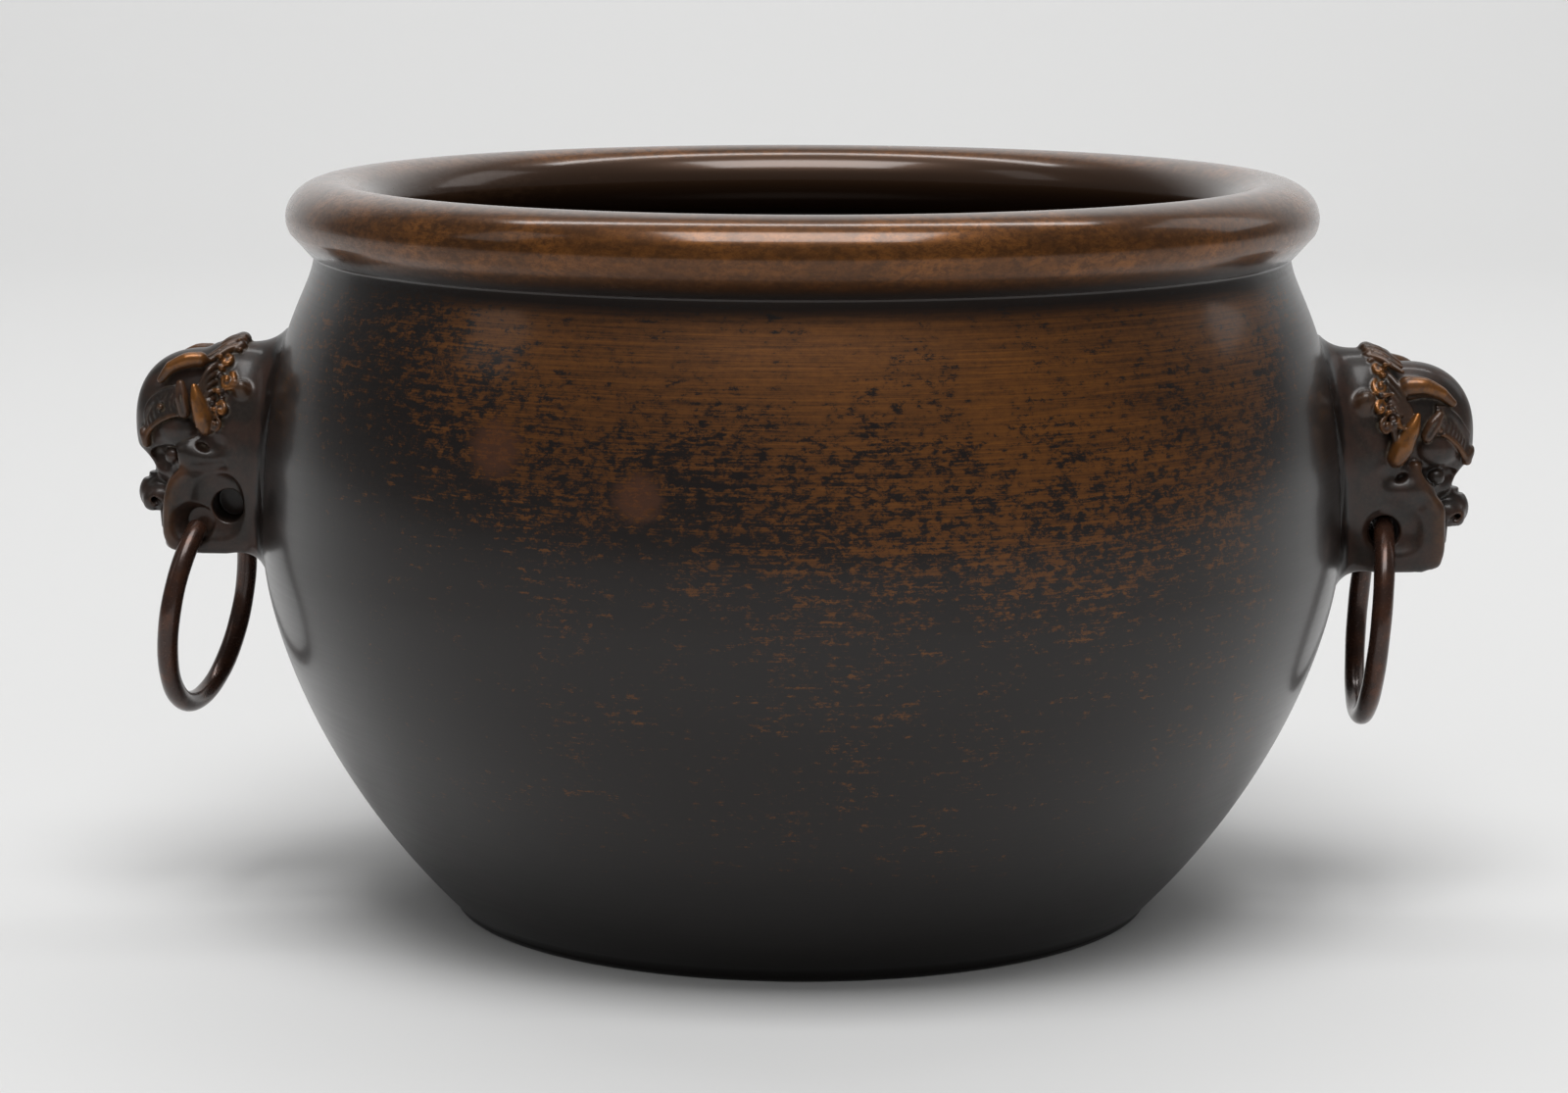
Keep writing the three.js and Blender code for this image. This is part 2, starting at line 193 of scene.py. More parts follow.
class Paint:
    """A material's nodes."""

    def __init__(self, name):
        self.material = bpy.data.materials.new(name)
        self.material.use_nodes = True
        self.tree = self.material.node_tree
        self.tree.nodes.clear()

    def node(self, kind, settings=None, inputs=None, output=0):
        """A new node. Its settings are made first, and then its sockets get their values or links."""
        made = self.tree.nodes.new(kind)
        for name, setting in (settings or {}).items():
            setattr(made, name, setting)
        for name, given in (inputs or {}).items():
            if isinstance(given, Value):
                self.tree.links.new(given.socket, made.inputs[name])
            else:
                made.inputs[name].default_value = given
        return Value(self, made.outputs[output])

    def place(self):
        """Where a point of the surface is, in metres, as the piece was made."""
        return self.node("ShaderNodeTexCoord", output=3)

    def axis(self, name):
        return self.node("ShaderNodeSeparateXYZ", inputs={0: self.place()}, output="XYZ".index(name))

    def noise(self, scale, detail=3.0, roughness=0.55, distortion=0.0):
        """Cloudy noise from 0 to 1. The scale is in clouds per metre, one for all axes or one for each."""
        place = self.place()
        if isinstance(scale, tuple):
            place = self.node("ShaderNodeMapping", inputs={"Vector": place, "Scale": scale})
            scale = 1
        inputs = {
            "Vector": place, "Scale": scale, "Detail": detail, "Roughness": roughness,
            "Distortion": distortion,
        }
        return self.node("ShaderNodeTexNoise", inputs=inputs)

    def mix(self, factor, first, second):
        """A colour between two others."""
        colours = [c if isinstance(c, Value) else (*c, 1) for c in (first, second)]
        inputs = {0: factor, 6: colours[0], 7: colours[1]}
        return self.node("ShaderNodeMix", {"data_type": "RGBA"}, inputs, output=2)

    def attribute(self, name):
        return self.node("ShaderNodeAttribute", {"attribute_name": name}, output=2)

    def bump(self, height, distance, strength):
        """A normal bent by a height from 0 to 1 over that many metres."""
        inputs = {"Height": height, "Distance": distance, "Strength": strength}
        return self.node("ShaderNodeBump", inputs=inputs)

    def finish(self, **sockets):
        inputs = {name.replace("_", " "): given for name, given in sockets.items()}
        shader = self.node("ShaderNodeBsdfPrincipled", inputs=inputs)
        output = self.tree.nodes.new("ShaderNodeOutputMaterial")
        self.tree.links.new(shader.socket, output.inputs["Surface"])
        return self.material


# Materials


# Where each round stain is, and how far it reaches, in metres
STAINS = (((-0.062, -0.1016, 0.12), 0.0085), ((-0.033, -0.117, 0.112), 0.0065))
# Painted shade deep inside the pot, and painted light on the inside near its mouth
INSIDE_SHADE = (0.006, 0.0045, 0.004)
INSIDE_LIT = (0.06, 0.03, 0.016)

# Patterns, each from 0 to 1, that the pot's colours and gloss follow
Marks = namedtuple("Marks", "clouds broad brushed hairs ragged streaky")


def darker(rgb, share):
    return tuple(share * part for part in rgb)


def stained(paint, settings, body, ragged):
    """The body's colour with its reddish round stains."""
    for place, reach in STAINS:
        inputs = {0: paint.place(), 1: place}
        off = paint.node("ShaderNodeVectorMath", {"operation": "DISTANCE"}, inputs, output=1)
        stain = 1 - (off + (ragged - 0.5) * 0.012).between(0.5 * reach, reach)
        body = paint.mix(stain * (0.2 + ragged * 0.55), body, settings.stain)
    return body


def rolled_bronze(paint, settings, up, marks):
    """Golden brown of the rim, smudged by hands and speckled dark, with painted shade in the patina's colour
    under the roll.
    """
    golden, neck = settings.golden, settings.neck_height
    handled = paint.noise((46, 46, 115), detail=6, roughness=0.66).between(0.3, 0.72)
    roll = paint.mix(handled, darker(golden, 0.36), golden)
    roll = paint.mix(marks.ragged.between(0.4, 0.62) * 0.75, roll, darker(golden, 0.16))
    roll = paint.mix(marks.clouds.between(0.42, 0.6) * 0.5, roll, darker(golden, 0.3))
    # Painted shade: the underside of the roll turns to the patina's colour
    shade_under_roll = 1 - up.between(neck + 0.9 * MM, neck + 5.4 * MM)
    return paint.mix(shade_under_roll * 0.8, roll, settings.patina)


def rubbed_bronze(paint, settings, up, across, marks):
    """Colour of the body, dark with ragged spots of bare bronze, and where those spots are."""
    neck = settings.neck_height
    side = across.between(-0.115, -0.03) * (1 - across.between(0.095, 0.113))
    drift = (marks.broad - 0.5) * 0.06 + (marks.clouds - 0.5) * 0.04
    shoulder = (up + drift).between(0.072, 0.163)
    belly = up.between(0.004, 0.05) * (marks.clouds.between(0.36, 0.62) * 0.17 + 0.13)
    smudges = marks.clouds.between(0.47, 0.6) * 0.36
    rubbed = (shoulder * (0.8 - smudges) + belly) * (0.4 + side * 0.6)
    grain = (marks.ragged - 0.5) * 2.6 + (marks.streaky - 0.5) * 1.3 + (marks.hairs - 0.5) * 0.5
    spots = (rubbed + grain).between(0.42, 0.62)
    bare = marks.brushed.between(0.38, 0.64) * 0.3 + marks.hairs.between(0.35, 0.65) * 0.25
    bare = bare + marks.ragged.between(0.38, 0.62) * 0.25 + marks.broad.between(0.4, 0.6) * 0.2
    # The patina is painted darker towards the foot: painted shade on the lower body, which faces the shaded
    # table
    patina = paint.mix(up.between(0.0, 0.05), darker(settings.patina, 0.4), settings.patina)
    worn = paint.mix(bare, settings.brown, settings.worn)
    neck_shade = 1 - up.between(neck - 6.1 * MM, neck - 1.6 * MM) * 0.95
    return paint.mix(spots * neck_shade * (0.5 + rubbed * 0.42), patina, worn), spots


def pot_bronze(settings):
    """Dark patina, brushed round the pot, brown on the shoulder and golden on the rim."""
    paint = Paint("pot_bronze")
    marks = Marks(
        clouds=paint.noise(26, detail=6, roughness=0.66, distortion=0.5),
        broad=paint.noise(10, detail=2, roughness=0.5),
        brushed=paint.noise((26, 26, 1300), detail=5, roughness=0.7),
        hairs=paint.noise((70, 70, 4200), detail=2, roughness=0.5),
        ragged=paint.noise((420, 420, 720), detail=10, roughness=0.8, distortion=0.3),
        streaky=paint.noise((130, 130, 700), detail=8, roughness=0.75),
    )
    neck = settings.neck_height
    mouth = settings.rim_radius - settings.rim_half_width
    up, across, toward = (paint.axis(name) for name in "ZXY")
    radius = (across * across + toward * toward) ** 0.5
    rim = up.between(neck + 0.6 * MM, neck + 1.9 * MM)
    # Where the inside's painted shade and light go: the inside above the floor, and also a band of the outer
    # wall just above the foot, which gets the painted shade
    inside = (1 - radius.between(mouth + 1.8 * MM, mouth + 5.3 * MM)) * up.between(4 * MM, 6 * MM)

    body, spots = rubbed_bronze(paint, settings, up, across, marks)
    body = stained(paint, settings, body, marks.ragged)
    whole = paint.mix(rim, body, rolled_bronze(paint, settings, up, marks))
    # Inside the pot the colour is painted light and shade: dark low down, lit towards the mouth
    whole = paint.mix(inside, whole, paint.mix(up.between(0.11, 0.158), INSIDE_SHADE, INSIDE_LIT))

    roughness = 0.24 + marks.brushed * 0.1 + marks.clouds * 0.05 + spots * 0.04
    roughness = roughness - rim * 0.06 + marks.ragged * rim * 0.06
    relief = marks.brushed * 0.4 + marks.hairs * 0.3 + paint.noise(900, detail=5) * 0.3
    metal = 0.05 + spots * 0.25 + rim * 0.26
    coat = up.between(0.0, 0.055) * 0.3 + up.between(0.136, 0.15) * 0.15 + up.between(0.158, 0.166) * 0.35
    return paint.finish(
        Base_Color=whole, Roughness=roughness, Metallic=metal.smaller(1), IOR=1.36,
        Normal=paint.bump(relief, 0.00005, 0.6), Coat_Weight=coat, Coat_Roughness=0.13,
    )


def mask_bronze(settings):
    """Near-black bronze with golden wear on what stands proud and dust in the hollows."""
    paint = Paint("mask_bronze")
    worn, edge, hollow, clear = (paint.attribute(name) for name in ("worn", "edge", "hollow", "clear"))
    clouds = paint.noise(160, detail=5, roughness=0.6)
    blotches = paint.noise(420, detail=4, roughness=0.7, distortion=0.6)
    grit = paint.noise(1100, detail=4, roughness=0.7)
    hair = paint.axis("Z").between(0.104, 0.109)
    rubbed = (worn * (0.35 + blotches.between(0.3, 0.6) * 0.7)).smaller(1) * (1 - hollow)
    copper = edge.between(0.35, 1) * clouds.between(0.45, 0.7)
    dusty = hollow.between(0.15, 0.8) * grit.between(0.35, 0.6) * hair
    wash = clouds.between(0.4, 0.62)
    colour = paint.mix(wash * 0.75, settings.patina, settings.wash)
    colour = paint.mix(hollow * (1 - hair) * 0.8, colour, darker(settings.patina, 0.3))
    colour = paint.mix(dusty * 0.75 + grit.between(0.4, 0.7) * 0.1, colour, settings.dust)
    colour = paint.mix(copper * 0.4, colour, darker(settings.worn, 0.5))
    colour = paint.mix(rubbed, colour, settings.worn)
    neck = (clear + (clouds - 0.5) * 0.9).between(0.05, 0.3)
    colour = paint.mix((1 - clear) * 0.75, colour, settings.wash)
    colour = paint.mix(neck, settings.wall, colour)
    roughness = 0.3 + neck * (0.06 - rubbed * 0.1 + dusty * 0.3 + grit * 0.1)
    metal = 0.08 + rubbed * 0.65 + copper * 0.2
    normal = paint.bump(grit * 0.5 + blotches * 0.5, 0.0001, 0.45)
    return paint.finish(
        Base_Color=colour, Roughness=roughness, Metallic=metal.smaller(1), Normal=normal, IOR=1.4,
        Coat_Weight=0.3, Coat_Roughness=0.15,
    )


def ring_bronze(settings):
    """Dark red-brown wire, half glossy, rubbed lighter here and there."""
    paint = Paint("ring_bronze")
    clouds = paint.noise(220, detail=5, roughness=0.6)
    drawn = paint.noise(1500, detail=3, roughness=0.7)
    rubbed = clouds.between(0.42, 0.72)
    colour = paint.mix(rubbed * 0.7, settings.patina, settings.worn)
    roughness = 0.2 + drawn * 0.12
    normal = paint.bump(drawn * 0.5 + clouds * 0.5, 0.00006, 0.5)
    return paint.finish(
        Base_Color=colour, Roughness=roughness, Metallic=0.35 + rubbed * 0.3, Normal=normal, IOR=1.45,
        Coat_Weight=0.3, Coat_Roughness=0.12,
    )


def paper(settings):
    """Matt pale paper."""
    paint = Paint("paper")
    fibres = paint.noise(700, detail=4, roughness=0.6)
    tone = paint.mix(fibres, darker(settings.paper, 0.985), settings.paper)
    return paint.finish(Base_Color=tone, Roughness=0.9, Normal=paint.bump(fibres, 0.00005, 0.3))


# Outlines and meshes


def bezier(start, pull, push, end, steps):
    """Points of a cubic curve, as rows of radius and height."""
    share = np.linspace(0, 1, steps + 1)[:, None]
    rest = 1 - share
    corners = [np.array(corner, float) for corner in (start, pull, push, end)]
    weights = (rest ** 3, 3 * rest ** 2 * share, 3 * rest * share ** 2, share ** 3)
    return sum(weight * corner for weight, corner in zip(weights, corners))


FOOT_EDGE = 1.5 * MM
FOOT_SLOPE = math.radians(44.8)
FOOT_FLAT = 6 * MM
FOOT_RECESS = 2.5 * MM
FLOOR = 5.5 * MM
LEDGE = 0.9 * MM
ROLL_START = -24
ROLL_END = 235
POT_SEGMENTS = 384


def wall_outline(pot, steps=48):
    """Outside of the wall from the foot's edge to the neck."""
    swell = 0.53 * pot.belly_height
    lower = bezier(
        (pot.foot_radius, FOOT_EDGE),
        (pot.foot_radius + swell * math.cos(FOOT_SLOPE), FOOT_EDGE + swell * math.sin(FOOT_SLOPE)),
        (pot.belly_radius, 0.815 * pot.belly_height),
        (pot.belly_radius, pot.belly_height),
        steps,
    )
    shoulder = pot.neck_height - pot.belly_height
    upper = bezier(
        (pot.belly_radius, pot.belly_height),
        (pot.belly_radius, pot.belly_height + 0.74 * shoulder),
        (pot.neck_radius + 0.5 * MM, pot.neck_height - 0.145 * shoulder),
        (pot.neck_radius, pot.neck_height),
        steps,
    )
    return np.vstack([lower, upper[1:]])


def shifted(points, distance):
    """An outline moved sideways, to its right where the distance is above 0."""
    along = np.gradient(points, axis=0)
    along /= np.linalg.norm(along, axis=1)[:, None]
    return points + distance * np.column_stack([along[:, 1], -along[:, 0]])


def arc(centre, half, first, last, steps):
    """Part of an ellipse, from one angle to another in degrees."""
    angle = np.radians(np.linspace(first, last, steps + 1))
    return np.column_stack([centre[0] + half[0] * np.cos(angle), centre[1] + half[1] * np.sin(angle)])


def pot_outline(pot):
    """The whole section of the pot, from the middle of the underside round to the middle of the floor."""
    floor = FOOT_RECESS + FLOOR
    flat = pot.foot_radius - FOOT_EDGE
    wall = wall_outline(pot)
    inside = shifted(wall, -pot.wall)[::-1]
    inside = inside[inside[:, 1] > floor + 4 * MM]
    edge = arc((flat, FOOT_EDGE), (FOOT_EDGE, FOOT_EDGE), -90, -4, 6)
    recess = flat - FOOT_FLAT
    underside = [(0, FOOT_RECESS), (recess * 0.5, FOOT_RECESS), (recess - 2.6 * MM, FOOT_RECESS)]
    slope = bezier(
        underside[-1], (recess - 1.2 * MM, FOOT_RECESS), (recess - 0.8 * MM, 0), (recess, 0), 5,
    )
    ledge = [(pot.neck_radius + 0.3 * LEDGE, pot.neck_height + 0.05 * LEDGE),
             (pot.neck_radius + LEDGE, pot.neck_height + 0.3 * LEDGE)]
    roll = (pot.rim_half_width, pot.rim_half_height)
    rim = arc((pot.rim_radius, pot.rim_height), roll, ROLL_START, ROLL_END, 72)
    corner = inside[-1]
    level = (corner[0] - 14 * MM, floor)
    bowl = bezier(corner, corner + (-2.5 * MM, -2.5 * MM), (corner[0] - 7 * MM, floor), level, 10)
    middle = [(corner[0] * 0.4, floor), (0, floor)]
    return np.vstack([underside, slope[1:], edge, wall, ledge, rim, inside, bowl[1:], middle])


def object_of(name, mesh, material):
    """A new object in the scene, smooth shaded, with one material."""
    mesh.materials.append(material)
    mesh.shade_smooth()
    made = bpy.data.objects.new(name, mesh)
    bpy.context.scene.collection.objects.link(made)
    return made


def lathe(name, outline, segments):
    """A closed body turned from an outline that starts and ends on the axis."""
    ring = outline[1:-1]
    angle = np.arange(segments) * 2 * math.pi / segments
    spots = np.stack([
        ring[:, :1] * np.cos(angle), ring[:, :1] * np.sin(angle), np.repeat(ring[:, 1:], segments, axis=1),
    ], axis=-1).reshape(-1, 3)
    poles = [(0, 0, outline[0][1]), (0, 0, outline[-1][1])]
    verts = np.vstack([spots, poles])
    first_pole = len(spots)
    last_row = (len(ring) - 1) * segments
    faces = []
    for row in range(len(ring) - 1):
        for i in range(segments):
            j = (i + 1) % segments
            here = row * segments
            faces.append((here + i, here + j, here + segments + j, here + segments + i))
    for i in range(segments):
        j = (i + 1) % segments
        faces.append((first_pole, j, i))
        faces.append((first_pole + 1, last_row + i, last_row + j))
    mesh = bpy.data.meshes.new(name)
    mesh.from_pydata(verts.tolist(), [], faces)
    return mesh


# Sculpting


# A place here is in millimetres: x out from the pot's wall, y to the side, z up from the middle of the
# trunk. A form tells the distance of places to its surface, which is below 0 inside it.
Form = namedtuple("Form", "centre reach distance")


def egg(centre, half, power=2.0, turn=(0, 0, 0)):
    """An egg shape, or a boxier one where the power is above 2. It is turned about x, y and z in degrees."""
    axes = np.array(Euler([math.radians(a) for a in turn]).to_matrix(), np.float32)

    def distance(x, y, z):
        flat = [x - centre[0], y - centre[1], z - centre[2]]
        own = [sum(axes[j][i] * flat[j] for j in range(3)) for i in range(3)]
        shares = [np.abs(value) / size + 1e-6 for value, size in zip(own, half)]
        total = sum(share ** power for share in shares) ** (1 / power)
        steepness = np.sqrt(sum(
            ((share / total) ** (power - 1) / size) ** 2 for share, size in zip(shares, half)
        ))
        return (total - 1) / steepness

    reach = np.abs(axes) @ np.array(half)
    return Form(np.array(centre, float), reach, distance)


def rope(points, radii):
    """Round cones joined end to end."""
    points = np.array(points, np.float32)
    radii = np.broadcast_to(np.array(radii, np.float32), len(points))

    def distance(x, y, z):
        nearest = None
        for a, b, r, s in zip(points[:-1], points[1:], radii[:-1], radii[1:]):
            run = b - a
            flat = (x - a[0], y - a[1], z - a[2])
            share = sum(f * step for f, step in zip(flat, run)) / max(float(run @ run), 1e-6)
            share = np.clip(share, 0, 1)
            off = np.sqrt(sum((f - share * step) ** 2 for f, step in zip(flat, run)))
            this = off - (r + share * (s - r))
            nearest = this if nearest is None else np.minimum(nearest, this)
        return nearest

    low, high = points.min(0), points.max(0)
    return Form((low + high) / 2, (high - low) / 2 + radii.max(), distance)


def smooth_path(points, steps):
    """A curve through points laid in space, with that many steps between two of them."""
    points = np.array(points, float)
    ends = np.vstack([2 * points[0] - points[1], points, 2 * points[-1] - points[-2]])
    share = np.arange(steps)[:, None] / steps
    spots = []
    for a, b, c, d in zip(ends, ends[1:], ends[2:], ends[3:]):
        spots.append(0.5 * (
            2 * b + (c - a) * share + (2 * a - 5 * b + 4 * c - d) * share ** 2
            + (3 * b - a - 3 * c + d) * share ** 3
        ))
    return np.vstack([*spots, points[-1:]])


def tapered(points, radii, steps=6):
    """A round bar along a smooth curve, its radius given at each of the curve's points."""
    path = smooth_path(points, steps)
    known = np.arange(len(points)) * steps
    return rope(path, np.interp(np.arange(len(path)), known, radii))


def plate(outline, half_width, rounding):
    """An outline seen from the side, made half_width thick to each side, with rounded edges."""
    corners = np.array(outline, np.float32)

    def flat_distance(x, z):
        nearest = np.full(np.broadcast(x, z).shape, 1e6, np.float32)
        inside = np.ones(nearest.shape, np.float32)
        for a, b in zip(corners, np.roll(corners, -1, axis=0)):
            run = b - a
            off = (x - a[0], z - a[1])
            share = np.clip((off[0] * run[0] + off[1] * run[1]) / (run @ run), 0, 1)
            nearest = np.minimum(nearest, np.hypot(off[0] - share * run[0], off[1] - share * run[1]))
            spans = (z >= a[1]) != (z >= b[1])
            side = off[0] * run[1] - off[1] * run[0]
            crosses = spans & ((side < 0) == (run[1] > 0))
            inside = np.where(crosses, -inside, inside)
        return nearest * inside

    def distance(x, y, z):
        across = flat_distance(x, z) + rounding
        side = np.abs(y) - half_width + rounding
        outside = np.hypot(np.maximum(across, 0), np.maximum(side, 0))
        return outside + np.minimum(np.maximum(across, side), 0) - rounding

    low, high = corners.min(0), corners.max(0)
    centre = np.array([(low[0] + high[0]) / 2, 0, (low[1] + high[1]) / 2])
    reach = np.array([(high[0] - low[0]) / 2, half_width, (high[1] - low[1]) / 2])
    return Form(centre, reach, distance)


def joined(first, second, fillet):
    """The distances to two forms made one, with a fillet between them, and the second one's share."""
    share = np.clip(0.5 + 0.5 * (first - second) / fillet, 0, 1)
    return first + (second - first) * share - fillet * share * (1 - share), share


def common(first, second, rounding):
    """The distances to what lies in both forms, with its edge rounded, and the second one's share."""
    share = np.clip(0.5 + 0.5 * (second - first) / rounding, 0, 1)
    return first + (second - first) * share + rounding * share * (1 - share), share


FAR = 30.0
MARGIN = 2


class Clay:
    """A block of distances to the surface of what is modelled. At first it has one side of it only."""

    def __init__(self, low, high, step):
        self.step = step
        self.axes = [np.arange(a, b, step, dtype=np.float32) for a, b in zip(low, high)]
        sizes = [len(axis) for axis in self.axes]
        self.distance = np.full(sizes, FAR, np.float32)
        self.worn = np.zeros(sizes, np.float32)

    def near(self, form, blend):
        """The part of the block that a form can change, and the places in it."""
        margin = blend + MARGIN
        cuts = tuple(
            slice(*np.searchsorted(axis, (middle - reach - margin, middle + reach + margin)))
            for axis, middle, reach in zip(self.axes, form.centre, form.reach)
        )
        places = [axis[cut] for axis, cut in zip(self.axes, cuts)]
        return cuts, np.meshgrid(*places, indexing="ij", sparse=True)

    def add(self, form, blend=0.8, worn=0.0):
        """Joins a form on, with a fillet, and gives its surface that much wear."""
        here, places = self.near(form, blend)
        self.distance[here], share = joined(self.distance[here], form.distance(*places), blend)
        self.worn[here] += (worn - self.worn[here]) * share

    def cut(self, form, blend=0.5):
        """Takes a form away, with a rounded edge."""
        here, places = self.near(form, blend)
        self.distance[here], share = common(self.distance[here], -form.distance(*places), blend)
        self.worn[here] *= 1 - share

    def mirror(self):
        """Makes the other side from this one."""
        self.distance = np.concatenate([self.distance[:, :0:-1], self.distance], axis=1)
        self.worn = np.concatenate([self.worn[:, :0:-1], self.worn], axis=1)
        across = self.axes[1]
        self.axes[1] = np.concatenate([-across[:0:-1], across])


# The two heads


TRUNK_HALF_SIDE = 15.0
TRUNK_START = 3.0
TRUNK_END = 12.5
TRUNK_TAPER = 3.4
BACK_ROUNDING = 3.0
JAW_HALF_SIDE = 12.6
SKULL_HALF = (16.3, 10.6, 17)
LEAF_HALF = (17.0, 12.4, 17.4)

# How boxy the skull and the leaf on it are. At 2 they would be eggs.
BOXY = 2.3

# The ring's way through the jaw, and how near the middle each mask's round hole comes
HOLE_RADIUS = 3.85
BORE_ROUNDING = 0.5
RING_GAP = 0.15
THROAT = 10.0
HOLE_END = 9.0
EMPTY_END = 0.5

# How the mask meets the pot's wall
SUNK = 0.25
WALL_FILLET = 7.5
SEAM = 1.2
SEAM_RUN = 3.0

# The block that a head is modelled in
BLOCK_LOW = (-9, 0, -36)
BLOCK_HIGH = (34, 25, 40)
SKIN_DEPTH = 3.0
BEND_GAIN = 3

# Which of the curls is a plain boss, and the wear on each
BOSS = 3
LOCK_WEAR = (0.2, 0.8, 0.95, 0.15, 0.9, 0.25)

Face = namedtuple("Face", (
    "rise trunk_half skull horn horn_radii far_horn ear ear_radii fold brow dot eye ball lip foot pit "
    "crease hole scoop nose nostril crest curls notch"
))

# The heads were carved one by one, so their features stand a little differently. A place in the brow,
# the dot, the hole and the scoop is out and up only. The scoop and the curls end with their sizes.
RIGHT = Face(
    rise=0.0,
    trunk_half=25.7,
    skull=(15.5, 0, 5.6),
    horn=[(15.4, 9.2, 17.5), (18.8, 9.6, 17.6), (22.7, 9.4, 16.2), (25.6, 8.8, 13.9)],
    horn_radii=(2.8, 2.3, 1.5, 1.0),
    far_horn=(-2.4, 3.2),
    ear=[(17, 12.6, 11.2), (15.8, 13, 8.2), (13.7, 12.8, 4.2), (12.5, 12.6, 1.8)],
    ear_radii=(0.8, 1.8, 2.7, 2.3),
    fold=[(22.4, 11.2, 11.4), (20.9, 11.8, 9.2), (19.5, 11.8, 6.6)],
    brow=[(21.2, 6.9), (23.6, 6.7), (25.8, 5.2), (27.3, 3.6), (28.8, 1.4), (29.8, 0)],
    dot=(22.5, 7.9),
    eye=(22.6, 7.8, 3.4),
    ball=(22.3, 8.3, -3.3),
    lip=[(18.4, 11.2, -0.6), (19.4, 11.6, -3.9), (21.2, 11.6, -7), (23.7, 11.5, -10.2), (24, 11.4, -15),
         (24, 11.2, -20), (23.4, 10.8, -23)],
    foot=-25.4,
    pit=(12.4, 13, -3.1),
    crease=[(9.6, 12.8, -8.9), (12.5, 12.9, -10.1), (16, 12.8, -10.3), (19.4, 12.6, -8.6)],
    hole=(10.1, -15.8),
    scoop=(12.6, -15.2, 6.4, 5.4),
    nose=(26.6, 0, -11.6),
    nostril=(28, 3.6, -14),
    crest=[(6.4, 0, 25.8), (9.2, 0, 25.2), (11.8, 0, 23.8), (14, 0, 22.6)],
    curls=[(6.6, 4.2, 24, 2), (8.3, 7.6, 20.8, 2.1), (8.4, 10.2, 17.4, 2), (5, 12.4, 14.4, 2.2),
           (8.2, 13, 12.8, 2.1), (9.6, 14, 9, 1.8)],
    notch=17.6,
)
LEFT = Face(
    rise=2.3,
    trunk_half=24.3,
    skull=(14.4, 0, 5.8),
    horn=[(14.4, 8.6, 21), (17.4, 9, 20.8), (21.1, 9.2, 19.2), (23.6, 8.8, 16.4)],
    horn_radii=(1.8, 1.8, 1.4, 0.9),
    far_horn=(-3.0, -0.2),
    ear=[(15.3, 12.6, 15), (14.6, 13, 12), (13.4, 12.8, 8), (12.9, 12.6, 5.8)],
    ear_radii=(0.8, 1.7, 2.4, 1.9),
    fold=[(18.7, 11.4, 15.6), (18.4, 12, 12.6), (17.9, 11.9, 9.3)],
    brow=[(19.2, 8.4), (21, 8.2), (23.9, 6.9), (26.2, 5), (27.2, 3.1), (27.5, 1.4)],
    dot=(23.6, 10.2),
    eye=(20.4, 7.8, 4.9),
    ball=(21.2, 8.2, -1.3),
    lip=[(17.9, 11.2, -1), (19.6, 11.6, -4.6), (21.8, 11.6, -7), (22.9, 11.5, -10.9), (23.2, 11.4, -15),
         (23.2, 11.2, -19), (22.4, 10.8, -21.6)],
    foot=-23.9,
    pit=(12.4, 13, 1.1),
    crease=[(9, 12.8, -3), (12, 12.9, -3.9), (15.4, 12.8, -4), (18, 12.6, -3.4)],
    hole=(8.1, -12.6),
    scoop=(10.5, -12.3, 6.2, 7.4),
    nose=(25.8, 0, -10.9),
    nostril=(26.4, 3.6, -13),
    crest=[(5.4, 0, 25.2), (8.2, 0, 24.6), (11, 0, 23), (13.6, 0, 21.8)],
    curls=[(5.6, 4.2, 23.8, 2), (8.2, 8.2, 20, 2.1), (7.8, 11, 16, 2.1), (4.6, 12.4, 14.6, 1.7),
           (8.9, 13.6, 9.8, 2), (10.4, 13.8, 6.4, 1.5)],
    notch=15.4,
)


# Parts of a head


def moved(place, out, side, up):
    return place[0] + out, place[1] + side, place[2] + up


def beside(path, out, side, up):
    """A path moved as a whole."""
    return [moved(spot, out, side, up) for spot in path]


def around(place, *steps):
    """A path through places that are given from one place."""
    return [moved(place, *step) for step in steps]


def trunk(clay, face):
    """The oval trunk, from inside the wall out to the back of the head, where it narrows."""
    def distance(x, y, z):
        share = np.clip((x - TRUNK_START) / (TRUNK_END - TRUNK_START), 0, 1)
        half_side = TRUNK_HALF_SIDE - TRUNK_TAPER * share ** 2
        shares = (y / half_side, z / face.trunk_half)
        total = np.sqrt(shares[0] ** 2 + shares[1] ** 2) + 1e-6
        slopes = (shares[0] / total / half_side, shares[1] / total / face.trunk_half)
        oval = (total - 1) / (np.sqrt(slopes[0] ** 2 + slopes[1] ** 2) + 1e-6)
        return common(oval, x - TRUNK_END, BACK_ROUNDING)[0]

    reach = (TRUNK_END + 10, TRUNK_HALF_SIDE, face.trunk_half)
    clay.add(Form(np.zeros(3), np.array(reach), distance), blend=1)


def head(clay, face):
    """Skull with the recess under the brow, one slab for cheeks and jaw, and the swelling of the cheek."""
    clay.add(egg(face.skull, SKULL_HALF, power=BOXY), blend=2.5)
    clay.cut(egg(moved(face.skull, 16.2, 0, -11.4), (5.2, 13, 5.4), turn=(0, -12, 0)), 1.4)
    edge = [(out - 0.2, up) for out, _, up in smooth_path(face.lip, 3)[::-1]]
    front, foot = edge[0][0], face.foot
    underside = [(1, foot + 0.9), (9, foot), (front - 4, foot + 0.1), (front - 1.6, foot + 0.9)]
    clay.add(plate([*underside, *edge, (1, 2)], JAW_HALF_SIDE, 2.0), blend=2.4)
    middle = np.mean(face.crease, axis=0)
    clay.add(egg(moved(middle, 0.6, -2.6, 3.2), (6.8, 3.4, 3.7)), blend=1.8)


